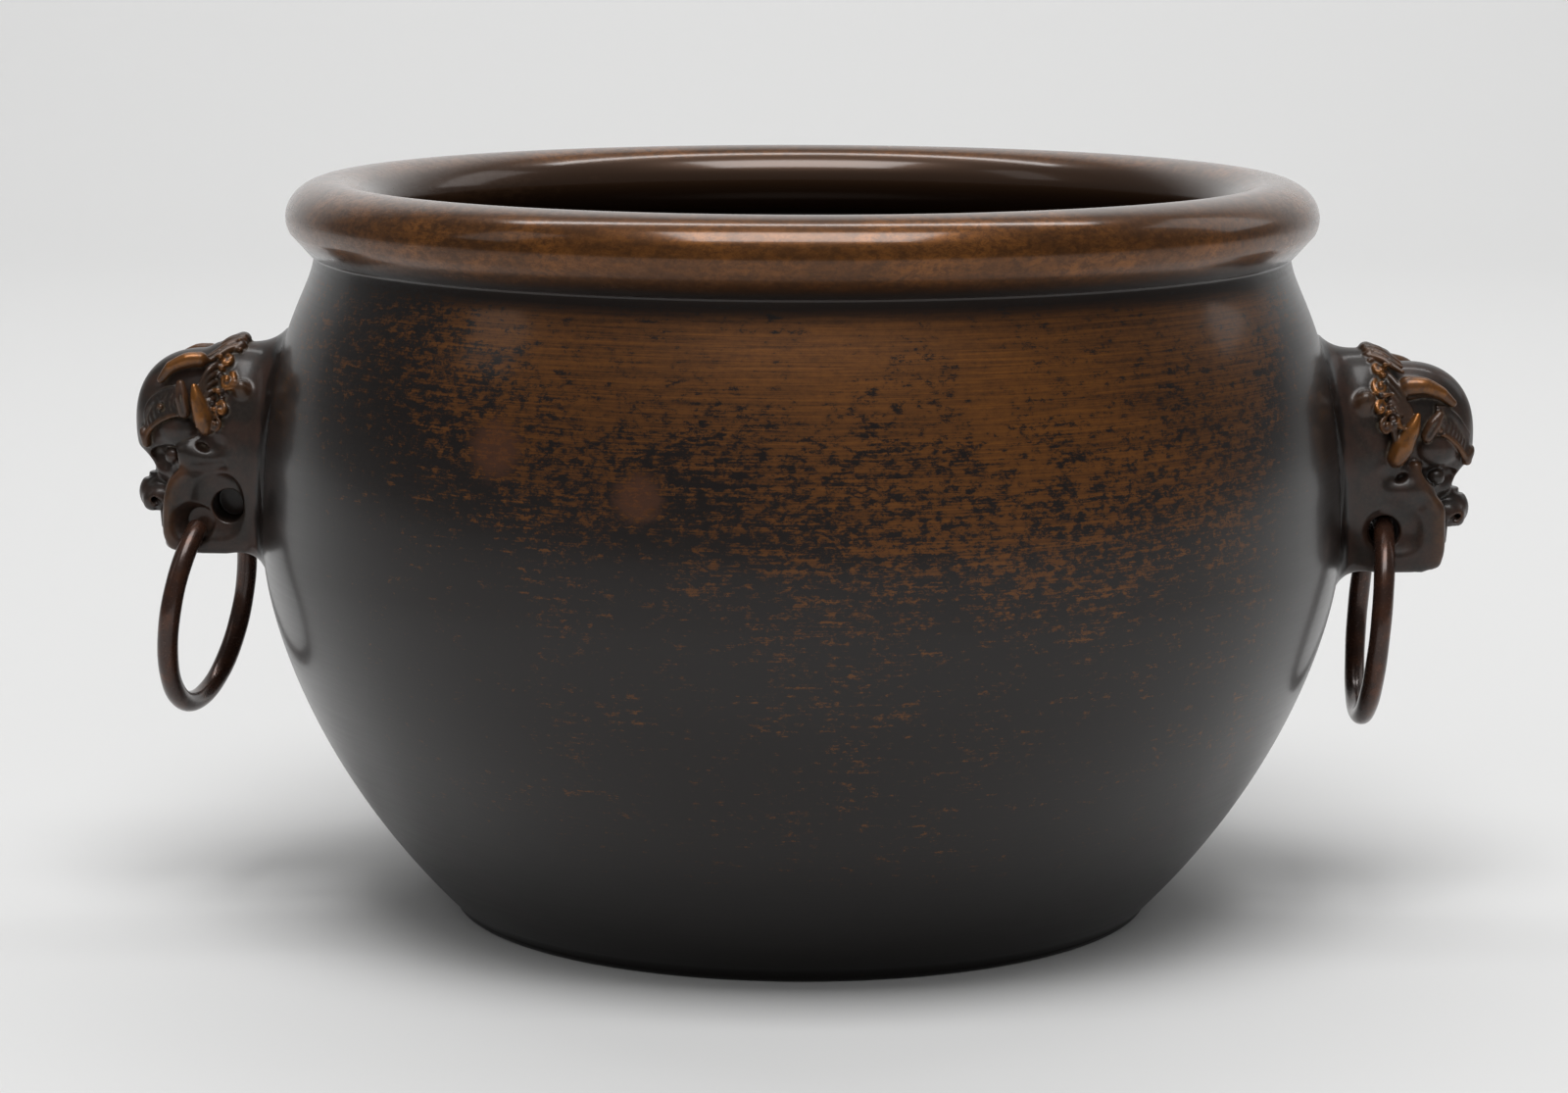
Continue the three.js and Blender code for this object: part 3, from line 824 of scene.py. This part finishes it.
def cheek(clay, face):
    """The rolled edge of the cheek, the crease across it, the scoop round the hole and the notch below."""
    rolled = beside(face.lip, -1.2, 0, 0)
    clay.add(tapered(rolled, (0.9, 1.1, 1.2, 1.35, 1.35, 1.3, 1.1)), blend=1.3, worn=0.22)
    clay.cut(tapered(beside(face.crease, 0, 1.0, 0), (0.5, 1.1, 1.1, 0.5)), 1.6)
    out, up, half_out, half_up = face.scoop
    clay.cut(egg((out, JAW_HALF_SIDE + 1.0, up), (half_out, 2.6, half_up), power=2.4), 1.2)
    clay.cut(rope([(face.notch, 4, face.foot - 0.9), (face.notch, 14, face.foot - 0.7)], 0.8), 0.4)


def mouth(clay, face):
    """The open mouth between the cheeks, with blunt teeth above and below, a fang and the lower lip."""
    corner = (face.lip[-2][0], 0, face.nose[2])
    clay.cut(egg(moved(corner, 1.6, 0, -7.6), (7.2, 8.2, 3.7), power=3), 1.2)
    for side in (1.6, 4.6):
        clay.add(egg(moved(corner, -0.8, side, -4.9), (1.6, 1.4, 1.9)), blend=0.5)
        clay.add(egg(moved(corner, -1.1, side, -10.9), (1.6, 1.4, 1.5)), blend=0.5)
    fang = around(corner, (0, 6.9, -3.6), (0.2, 6.7, -6.8), (0, 6.5, -8.8))
    clay.add(rope(fang, (1.5, 1.1, 0.5)), blend=0.5)
    lower = around((corner[0], 0, face.foot), (-0.8, 0, 1.8), (-1, 5, 1.8), (-1.6, 9, 2.4))
    clay.add(tapered(lower, (1.5, 1.5, 1.2)), blend=1)


def nose(clay, face):
    """Bridge with its wrinkles, a round bulb and a flaring wing with the nostril under it."""
    bridge = around(face.nose, (-2.2, 0, 10.2), (-2.6, 0, 6), (-0.8, 0, 2))
    clay.add(tapered(bridge, (3.4, 3.2, 3.7)), blend=1.5)
    clay.add(egg(face.nose, (4.7, 4.8, 4.9)), blend=1.2)
    clay.add(egg(moved(face.nose, -0.5, 3.7, -1.3), (3.9, 2.8, 3.4), turn=(0, 18, 0)), blend=0.9)
    for out, up in ((1.0, 7), (1.5, 5.4), (3.1, 3.9)):
        wrinkle = around(face.nose, (out, 0, up), (out - 0.8, 2.2, up + 0.2), (out - 2.6, 4.2, up + 0.9))
        clay.cut(tapered(wrinkle, (0.7, 0.65, 0.4)), 0.5)
    slit = around(face.nostril, (0.6, 0.6, 1.2), (-0.4, 2.4, 0.8), (-1.6, 2.9, -0.6), (-0.4, 1.6, -1.5))
    clay.cut(tapered(slit, (0.5, 0.8, 0.9, 0.6)), 0.4)


def eye(clay, face):
    """The domed lid under the brow, and the small ball in the dark socket below it."""
    clay.add(egg(face.eye, (5.8, 3.7, 4.4), turn=(0, 0, -26)), blend=0.6)
    socket = around(face.ball, (-3.8, 2.6, 1.2), (-2, 2, 0.7), (1.4, 1.2, 0.4), (3.6, -1.6, 0.2))
    clay.cut(tapered(socket, (0.8, 1.6, 2.1, 1.6)), 0.7)
    clay.cut(egg(moved(face.ball, 3.2, 0.6, -1.6), (3, 3.2, 3.2)), 1.0)
    clay.add(egg(moved(face.ball, 0, -0.2, 0), (2.0, 2.3, 2.1)), blend=0.35)


def leaf(face, out, up):
    """A place on the brow's leaf, from how far out and up it lies."""
    shares = (out - face.skull[0]) / LEAF_HALF[0], (up - face.skull[2]) / LEAF_HALF[2]
    rest = 1 - sum(abs(share) ** BOXY for share in shares)
    return out, LEAF_HALF[1] * max(rest, 0) ** (1 / BOXY), up


def brow(clay, face):
    """A raised leaf over each eye, with carved hairs, a rolled edge and a punched dot."""
    edge = smooth_path([(out, 0, up) for out, up in face.brow], 4)[:, (0, 2)]
    side_view = plate(np.vstack([edge, edge[::-1] + (0.4, 6.6)]), 20, 0.3)
    body = egg(face.skull, LEAF_HALF, power=BOXY)

    def distance(x, y, z):
        return np.maximum(body.distance(x, y, z), side_view.distance(x, y, z))

    clay.add(Form(side_view.centre, side_view.reach, distance), blend=0.35)
    for out, up in edge[2:-3:2]:
        hair = [(out - 0.1, up + 1.0), (out + 0.5, up + 3.2), (out - 0.6, up + 6.0)]
        hair = [moved(leaf(face, *spot), 0, 0.1, 0) for spot in hair]
        clay.cut(tapered(hair, (0.25, 0.42, 0.25)), 0.3)
    rolled = [moved(leaf(face, *spot), 0, -0.25, 0) for spot in edge]
    radii = np.interp(np.linspace(0, 1, len(rolled)), (0, 0.4, 1), (0.3, 0.5, 0.8))
    clay.add(rope(rolled, radii), blend=0.3, worn=0.3)
    tip = moved(leaf(face, *edge[-1]), 0.2, -0.9, 1.6)
    clay.add(egg(tip, (1.2, 2.2, 2.4), turn=(0, 20, 0)), blend=0.8, worn=0.1)
    dot = leaf(face, *face.dot)
    clay.cut(egg(dot, (1.25, 1.0, 1.25)), 0.25)
    clay.add(egg(moved(dot, 0, -0.5, 0), (0.75, 0.9, 0.75)), blend=0.2, worn=0.2)


def rub(clay, path, radii, steps=6):
    """Lays a thinner bar just proud of another one, for its bright wear."""
    clay.add(tapered(path, [0.8 * radius for radius in radii], steps), blend=0.4, worn=1.1)


def horn(clay, face):
    """A horn laid back along the skull: round behind, thin where it curls down in front."""
    clay.add(tapered(face.horn, face.horn_radii), blend=0.5, worn=0.3)
    rub(clay, beside(face.horn[:3], 0.2, 0.4, 0.3), face.horn_radii[:3])
    clay.cut(tapered(beside(face.horn, 0.2, 2.2, -2.4), (0.9, 1.0, 0.8, 0.5)), 0.6)


def far_horn(clay, face, side):
    """The far side's horn, which stands a little differently."""
    back, lift = face.far_horn
    path = []
    for i, (out, across, up) in enumerate(face.horn):
        path.append((out + back, side * across, up + lift * (1 - 0.2 * i)))
    clay.add(tapered(path, face.horn_radii), blend=0.5, worn=0.3)


def ear(clay, face):
    """A leaf-shaped ear behind, a narrow dark fold of it in front and the pit below."""
    clay.cut(egg(moved(face.pit, 0.8, 1.3, 0.9), (3, 1.7, 1.4), turn=(0, -12, 0)), 2.6)
    clay.cut(egg(moved(face.pit, 1.4, -0.4, 0.2), (1.5, 2, 0.8), turn=(0, -30, 0)), 0.6)
    clay.add(tapered(face.ear, face.ear_radii, 10), blend=0.5, worn=0.3)
    rub(clay, beside(face.ear, 0.1, 0.55, 0.4), face.ear_radii, 10)
    clay.add(tapered(face.fold, (1.1, 1.7, 1.5)), blend=0.45, worn=0.15)
    clay.cut(tapered(beside(face.fold, 0.1, 1.6, 0), (0.2, 0.45, 0.3)), 0.3)


def curl(clay, centre, outward, radius, spin, turns, worn):
    """A lock of hair: a low dome with a flattened spiral ridge on it, turned by spin."""
    outward = Vector(outward).normalized()
    side = outward.cross(Vector((1, 0, 0))).normalized()
    up = side.cross(outward)
    spots, sizes = [], []
    steps = int(12 * turns)
    for i in range(steps + 1):
        share = i / steps
        turned = spin + 2 * math.pi * turns * share
        off = radius * (1 - 0.85 * share)
        lift = 0.7 * radius * share
        flat = 1.15 * math.cos(turned) * side + 0.8 * math.sin(turned) * up
        spots.append(Vector(centre) + off * flat + lift * outward)
        sizes.append(0.34 * radius * (1 - 0.3 * share))
    clay.add(egg(centre, (0.7 * radius,) * 3), blend=0.5)
    clay.add(rope([tuple(spot) for spot in spots], sizes), blend=0.15, worn=worn)


def locks(clay, face):
    """Curled locks round the back of the head, with one plain boss among them."""
    for i, (*centre, size) in enumerate(face.curls):
        outward = (0.35, centre[1] / TRUNK_HALF_SIDE, centre[2] / face.trunk_half * 0.8)
        wear = LOCK_WEAR[i]
        if i == BOSS:
            clay.add(egg(centre, (size, 0.8 * size, 1.2 * size), turn=(0, 20, 0)), blend=1.6, worn=wear)
        else:
            curl(clay, moved(centre, 0, -0.4, 0), outward, size, 1.9 * i, 0.8 + 0.2 * (i % 3), wear)


def strands(clay, face):
    """Hair that runs from the locks to the ear, with loose strands over it."""
    top, bottom = Vector(face.curls[1][:3]), Vector(face.curls[-1][:3])
    for i in range(8):
        start = top.lerp(bottom, i / 7) + Vector((1.8, -0.3, 0))
        end = Vector(face.ear[0]).lerp(Vector(face.ear[2]), i / 7) + Vector((-1.2, -0.4, 0.6))
        bend = start.lerp(end, 0.5) + Vector((0, 0.7, 1.2 - 0.3 * i))
        clay.add(tapered([start, bend, end], (0.9, 0.75, 0.6)), blend=0.12, worn=0.08)
    chance = np.random.default_rng(7)
    for i in range(22):
        start = top.lerp(bottom, i / 21) + Vector(chance.uniform((-1.5, -0.4, -0.5), (3.4, 0.3, 1.5)))
        run = Vector(chance.uniform((0.8, -0.2, -2.4), (2.2, 0.3, 1.2)))
        bend = start + run / 2 + Vector(chance.uniform((-0.6, 0.3, -0.8), (0.6, 0.8, 0.8)))
        clay.add(tapered([start, bend, start + run], (0.45, 0.65, 0.3)), blend=0.15, worn=0.6 * (i % 4 == 0))


def crest(clay, face):
    """Long strands that fan out over the top of the head, from a knot at the back."""
    for side in (0.0, 1.3, 2.7, 4.0):
        path = []
        for i, spot in enumerate(face.crest):
            path.append(moved(spot, 0, side * (1 + 0.4 * i), -0.1 * side ** 2))
        clay.add(tapered(path, (1.2, 1.0, 0.8, 0.45)), blend=0.25, worn=0.2)
    clay.add(egg(moved(face.crest[0], 0, 0, -0.4), (1.8, 2.8, 1.6)), blend=0.6)


def dress(clay, face):
    """The whole head on one side, without the bore."""
    for part in (trunk, head, locks, strands, crest, nose, mouth, cheek, eye, brow, horn, ear):
        part(clay, face)


# Bore, wall and skin


def wire_space(places, face, hinge, turn, opening, ring):
    """Room for the ring's wire as it swings, seen along its hinge, and the holes in the cheeks."""
    x, y, z = places
    radius, wire = ring.radius / MM, ring.wire_radius / MM
    drop = radius - math.sqrt(radius ** 2 - THROAT ** 2)
    out = x - hinge[0]
    along = out * math.sin(turn) + y * math.cos(turn)
    off = np.hypot(out * math.cos(turn) - y * math.sin(turn), z - hinge[1])
    inner = radius - np.sqrt(np.maximum((radius - wire - RING_GAP) ** 2 - along ** 2, 1))
    outer = radius - np.sqrt(np.maximum((radius + wire + RING_GAP) ** 2 - along ** 2, 1))
    swept = off - np.maximum(inner - drop, drop - outer)
    hole = np.hypot(x - face.hole[0], z - face.hole[1]) - HOLE_RADIUS
    if opening is None:
        return np.minimum(swept, np.maximum(hole, HOLE_END + y))
    first, last = ((radius - wire) * math.sin(angle) for angle in opening)
    far = np.maximum(swept, along - first - RING_GAP)
    pocket = np.maximum(swept, last - RING_GAP - along)
    empty = np.maximum(hole, EMPTY_END - y)
    return np.minimum(np.minimum(far, pocket), empty)


def joint_of(body):
    return next(joint for joint in frame["joints"] if joint["child"] == body)


def hinge_turn(joint):
    """How far a joint's level axis is turned from straight across."""
    turn = math.atan2(joint["axis"][0], joint["axis"][1])
    return (turn + math.pi / 2) % math.pi - math.pi / 2


def wall_distance(places, wall, height, seat):
    """How far each place is outside the pot's wall, in millimetres."""
    x, y, z = places
    level = z + height
    radius = np.interp(level, wall[:, 1], wall[:, 0])
    slope = np.interp(level, wall[:, 1], np.gradient(wall[:, 0]) / np.gradient(wall[:, 1]))
    return (np.hypot(x + seat, y) - radius) / np.sqrt(1 + slope ** 2)


def sculpted(name, scene, face, side, body):
    """One mask's mesh, in metres, where it stands. The side is 1 for the right mask and -1 for the left."""
    rings = scene.water_pot_rings
    height = scene.water_pot_masks.height / MM + face.rise
    wall = wall_outline(scene.water_pot) / MM
    seat = float(np.interp(height, wall[:, 1], wall[:, 0]))
    clay = Clay(BLOCK_LOW, BLOCK_HIGH, scene.water_pot_masks.grain)
    dress(clay, face)
    clay.mirror()
    far_horn(clay, face, side)

    places = np.meshgrid(*clay.axes, indexing="ij", sparse=True)
    joint = joint_of(body)
    hinge = (abs(joint["pos_m"][0]) / MM - seat, joint["pos_m"][2] / MM - height)
    opening = (rings.open_from, rings.open_to) if side < 0 else None
    space = wire_space(places, face, hinge, hinge_turn(joint), opening, rings)
    bored, _ = common(clay.distance, -space, BORE_ROUNDING)

    skin = wall_distance(places, wall, height, seat)
    seated, _ = joined(skin + SUNK, bored, WALL_FILLET)
    clay.distance = np.maximum(seated, -(skin + SUNK))
    return mesh_of(name, clay, skin, side, seat, height)


def sampled(block, axes, step, verts):
    """Values of a block at points that lie in it."""
    spots = (verts - [axis[0] for axis in axes]) / step
    base = np.clip(np.floor(spots).astype(int), 0, np.array(block.shape) - 2)
    share = spots - base
    total = 0
    for corner in np.ndindex(2, 2, 2):
        weight = np.prod([s if c else 1 - s for s, c in zip(share.T, corner)], axis=0)
        total = total + weight * block[tuple((base + corner).T)]
    return total


def curvature(distance, step, reach):
    """How much the surface bends, over a reach in cells: above 0 on ridges, below 0 in hollows."""
    blurred = distance
    for axis in range(3):
        kernel = np.arange(-reach, reach + 1)
        blurred = sum(np.roll(blurred, int(shift), axis) for shift in kernel) / len(kernel)
    return (blurred - distance) / (step * reach)


def mesh_of(name, clay, skin, side, seat, height):
    """The skin of a block of distances, with its wear, edges and hollows kept at its corners.
    What is called clear is 0 on the pot's wall and 1 well away from it."""
    axes, step = clay.axes, clay.step
    distance = np.clip(clay.distance, -SKIN_DEPTH, SKIN_DEPTH).astype(np.float32)
    grid = openvdb.FloatGrid()
    grid.background = SKIN_DEPTH
    grid.copyFromArray(distance)
    points, quads = grid.convertToQuads(isovalue=0)
    verts = points * step + [axis[0] for axis in axes]
    bend = BEND_GAIN * sampled(curvature(distance, step, reach=2), axes, step, verts)
    clear = np.clip((sampled(skin, axes, step, verts) - SEAM) / SEAM_RUN, 0, 1)
    kept = {
        "worn": sampled(clay.worn, axes, step, verts),
        "edge": np.clip(bend, 0, 1) * clear,
        "hollow": np.clip(-bend, 0, 1) * clear,
        "clear": clear,
    }
    placed = np.column_stack([side * (verts[:, 0] + seat), side * verts[:, 1], verts[:, 2] + height]) * MM
    mesh = bpy.data.meshes.new(name)
    mesh.from_pydata(placed.tolist(), [], quads[:, ::-1].tolist())
    for label, values in kept.items():
        mesh.attributes.new(label, "FLOAT", "POINT").data.foreach_set("value", values.astype(np.float32))
    return mesh


# Rings


# The open ring's cut end, row by row: the share of the wire's radius, and how far along in wire radii
WIRE_END = ((0.0, 0.0), (0.72, 0.0), (0.93, 0.12), (1.0, 0.35))
WIRE_SIDES = 28


def wire_rows(rings, closed):
    """The angle from the ring's top and the wire's radius, a little uneven, for each row of corners."""
    first = 0 if closed else rings.open_to
    last = 2 * math.pi + (0 if closed else rings.open_from)
    spaces = rings.steps if closed else rings.steps - 1
    for i in range(rings.steps):
        angle = first + (last - first) * i / spaces
        share = 1.0
        inset = min(i, rings.steps - 1 - i)
        if not closed and inset < len(WIRE_END):
            share, along = WIRE_END[inset]
            shift = along * rings.wire_radius / rings.radius
            angle = first + shift if i == inset else last - shift
        uneven = 0.96 + 0.012 * math.sin(5 * angle) + 0.008 * math.sin(13 * angle + 1)
        yield angle, share * rings.wire_radius * uneven


def ring_mesh(name, body, rings, side):
    """A ring of round wire, as bent by hand. The left one is open at the cheek."""
    joint = joint_of(body)
    turn = hinge_turn(joint)
    lean = rings.left_lean if side < 0 else rings.right_lean
    along = side * Vector((math.sin(turn), math.cos(turn), 0))
    outward = side * Vector((math.cos(turn), -math.sin(turn), 0))
    down = math.sin(lean) * outward - math.cos(lean) * Vector((0, 0, 1))
    normal = down.cross(along)
    centre = Vector(joint["pos_m"]) + down * math.sqrt(rings.radius ** 2 - (THROAT * MM) ** 2)
    closed = side > 0
    verts = []
    for angle, wire in wire_rows(rings, closed):
        out = along * math.sin(angle) - down * math.cos(angle)
        for j in range(WIRE_SIDES):
            spin = 2 * math.pi * j / WIRE_SIDES
            reach = rings.radius + wire * math.cos(spin)
            verts.append(centre + out * reach + normal * wire * math.sin(spin))
    faces = []
    for i in range(rings.steps if closed else rings.steps - 1):
        a, b = i * WIRE_SIDES, ((i + 1) % rings.steps) * WIRE_SIDES
        for j in range(WIRE_SIDES):
            k = (j + 1) % WIRE_SIDES
            faces.append((a + j, b + j, b + k, a + k))
    mesh = bpy.data.meshes.new(name)
    mesh.from_pydata(verts, [], faces)
    if not closed:
        weld(mesh)
    return mesh


def weld(mesh):
    """Joins corners that lie on each other."""
    work = bmesh.new()
    work.from_mesh(mesh)
    bmesh.ops.remove_doubles(work, verts=work.verts, dist=1e-6)
    work.to_mesh(mesh)
    work.free()


# Stage


SENSOR_WIDTH = 36


def area_light(name, at, toward, size, watts, mirrored=True):
    """A softbox at a place, facing another. One that isn't mirrored stays out of the bronze's gloss."""
    light = bpy.data.lights.new(name, "AREA")
    light.shape = "RECTANGLE"
    light.size, light.size_y = size
    light.energy = watts
    made = bpy.data.objects.new(name, light)
    made.location = at
    made.rotation_euler = (Vector(toward) - Vector(at)).to_track_quat("-Z", "Y").to_euler()
    made.visible_glossy = mirrored
    bpy.context.scene.collection.objects.link(made)


def backdrop(studio):
    """Paper on the table that curves up behind the pot."""
    front, bend, height, half_width = -1.6, 1.6, 3.0, 3.2
    radius, steps = 0.9, 12
    path = [(front, 0.0), (bend, 0.0)]
    for step in range(1, steps + 1):
        angle = math.radians(90 * step / steps)
        path.append((bend + radius * math.sin(angle), radius - radius * math.cos(angle)))
    path.append((bend + radius, height))
    verts = [(side * half_width, y, z) for y, z in path for side in (-1, 1)]
    faces = [(2 * i, 2 * i + 1, 2 * i + 3, 2 * i + 2) for i in range(len(path) - 1)]
    mesh = bpy.data.meshes.new("paper")
    mesh.from_pydata(verts, [], faces)
    sheet = object_of("paper", mesh, paper(studio))


def surroundings(studio):
    """White room all round."""
    world = bpy.data.worlds.new("room")
    bpy.context.scene.world = world
    world.use_nodes = True
    background = world.node_tree.nodes["Background"]
    background.inputs["Color"].default_value = (1, 1, 1, 1)
    background.inputs["Strength"].default_value = studio.room_light


def camera(studio):
    data = bpy.data.cameras.new("camera")
    data.lens = studio.lens
    data.sensor_width = SENSOR_WIDTH
    data.clip_start, data.clip_end = 0.05, 50
    made = bpy.data.objects.new("camera", data)
    made.location = (0, -studio.camera_distance, studio.camera_height)
    yaw, pitch = studio.camera_yaw, studio.camera_pitch
    ahead = Vector((math.sin(yaw) * math.cos(pitch), math.cos(yaw) * math.cos(pitch), -math.sin(pitch)))
    right = Vector((math.cos(yaw), -math.sin(yaw), 0))
    up = right.cross(ahead)
    facing = Matrix((right, up, -ahead)).transposed()
    made.rotation_mode = "QUATERNION"
    made.rotation_quaternion = (facing @ Matrix.Rotation(studio.camera_roll, 3, "Z")).to_quaternion()
    bpy.context.scene.collection.objects.link(made)
    bpy.context.scene.camera = made


# Operators


class WATERPOT_OT_pot(bpy.types.Operator):
    """Turns the pot with its rolled rim"""

    bl_idname = "water_pot.pot"
    bl_label = "Pot"

    def execute(self, context):
        settings = context.scene.water_pot
        mesh = lathe("pot_body", pot_outline(settings), POT_SEGMENTS)
        pot = object_of("pot_body", mesh, pot_bronze(settings))
        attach(pot, "pot")
        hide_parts("pot")
        return {"FINISHED"}


class WATERPOT_OT_masks(bpy.types.Operator):
    """Sculpts both lion masks"""

    bl_idname = "water_pot.masks"
    bl_label = "Lion Masks"

    def execute(self, context):
        scene = context.scene
        material = mask_bronze(scene.water_pot_masks)
        for name, side, face in (("right", 1, RIGHT), ("left", -1, LEFT)):
            node = f"{name}_mask_handle"
            mesh = sculpted(f"{name}_lion_mask", scene, face, side, f"{name}_ring")
            mask = object_of(f"{name}_lion_mask", mesh, material)
            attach(mask, "pot")
            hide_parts(node)
        return {"FINISHED"}


class WATERPOT_OT_rings(bpy.types.Operator):
    """Bends both loose rings"""

    bl_idname = "water_pot.rings"
    bl_label = "Loose Rings"

    def execute(self, context):
        settings = context.scene.water_pot_rings
        material = ring_bronze(settings)
        for body, side in (("right_ring", 1), ("left_ring", -1)):
            mesh = ring_mesh(f"{body}_wire", body, settings, side)
            ring = object_of(f"{body}_wire", mesh, material)
            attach(ring, body)
            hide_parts(body)
        return {"FINISHED"}


class WATERPOT_OT_studio(bpy.types.Operator):
    """Sets up the paper, the lights and the camera"""

    bl_idname = "water_pot.studio"
    bl_label = "Studio"

    def execute(self, context):
        studio = context.scene.water_pot_studio
        backdrop(studio)
        surroundings(studio)
        middle = (0, 0, 0.1)
        area_light("top_softbox", (0, -0.83, 2.3), middle, (1.6, 1.2), studio.top_light)
        area_light("backdrop_lamp", (0, 0.9, 2.4), (0, 2.1, 0.7), (2.6, 0.5), studio.back_light)
        area_light("left_softbox", (-1.5, -0.4, 1.25), middle, (0.45, 0.9), studio.left_light)
        area_light("right_softbox", (1.5, 0.75, 1.1), middle, (0.7, 1.0), studio.right_light)
        area_light("front_fill", (0, -1.9, 1.0), (0, 0, 0), (2.4, 1.2), studio.front_light, mirrored=False)
        camera(studio)
        context.scene.view_settings.view_transform = "Standard"
        return {"FINISHED"}


class WATERPOT_PT_panel(bpy.types.Panel):
    """Lists the pieces that can be made"""

    bl_idname = "WATERPOT_PT_panel"
    bl_label = "Bronze Water Pot"
    bl_space_type = "VIEW_3D"
    bl_region_type = "UI"
    bl_category = "Water Pot"

    def draw(self, context):
        for operator in OPERATORS:
            self.layout.operator(operator.bl_idname)


OPERATORS = (WATERPOT_OT_pot, WATERPOT_OT_masks, WATERPOT_OT_rings, WATERPOT_OT_studio)
SETTINGS = {
    "water_pot": PotSettings,
    "water_pot_masks": MaskSettings,
    "water_pot_rings": RingSettings,
    "water_pot_studio": StudioSettings,
}


def register():
    for made in (*SETTINGS.values(), *OPERATORS, WATERPOT_PT_panel):
        bpy.utils.register_class(made)
    for name, group in SETTINGS.items():
        setattr(bpy.types.Scene, name, PointerProperty(type=group))


def unregister():
    for name in SETTINGS:
        delattr(bpy.types.Scene, name)
    for made in (WATERPOT_PT_panel, *OPERATORS, *SETTINGS.values()):
        bpy.utils.unregister_class(made)


def main():
    register()
    bpy.ops.water_pot.pot()
    bpy.ops.water_pot.masks()
    bpy.ops.water_pot.rings()
    bpy.ops.water_pot.studio()


if __name__ == "__main__":
    main()
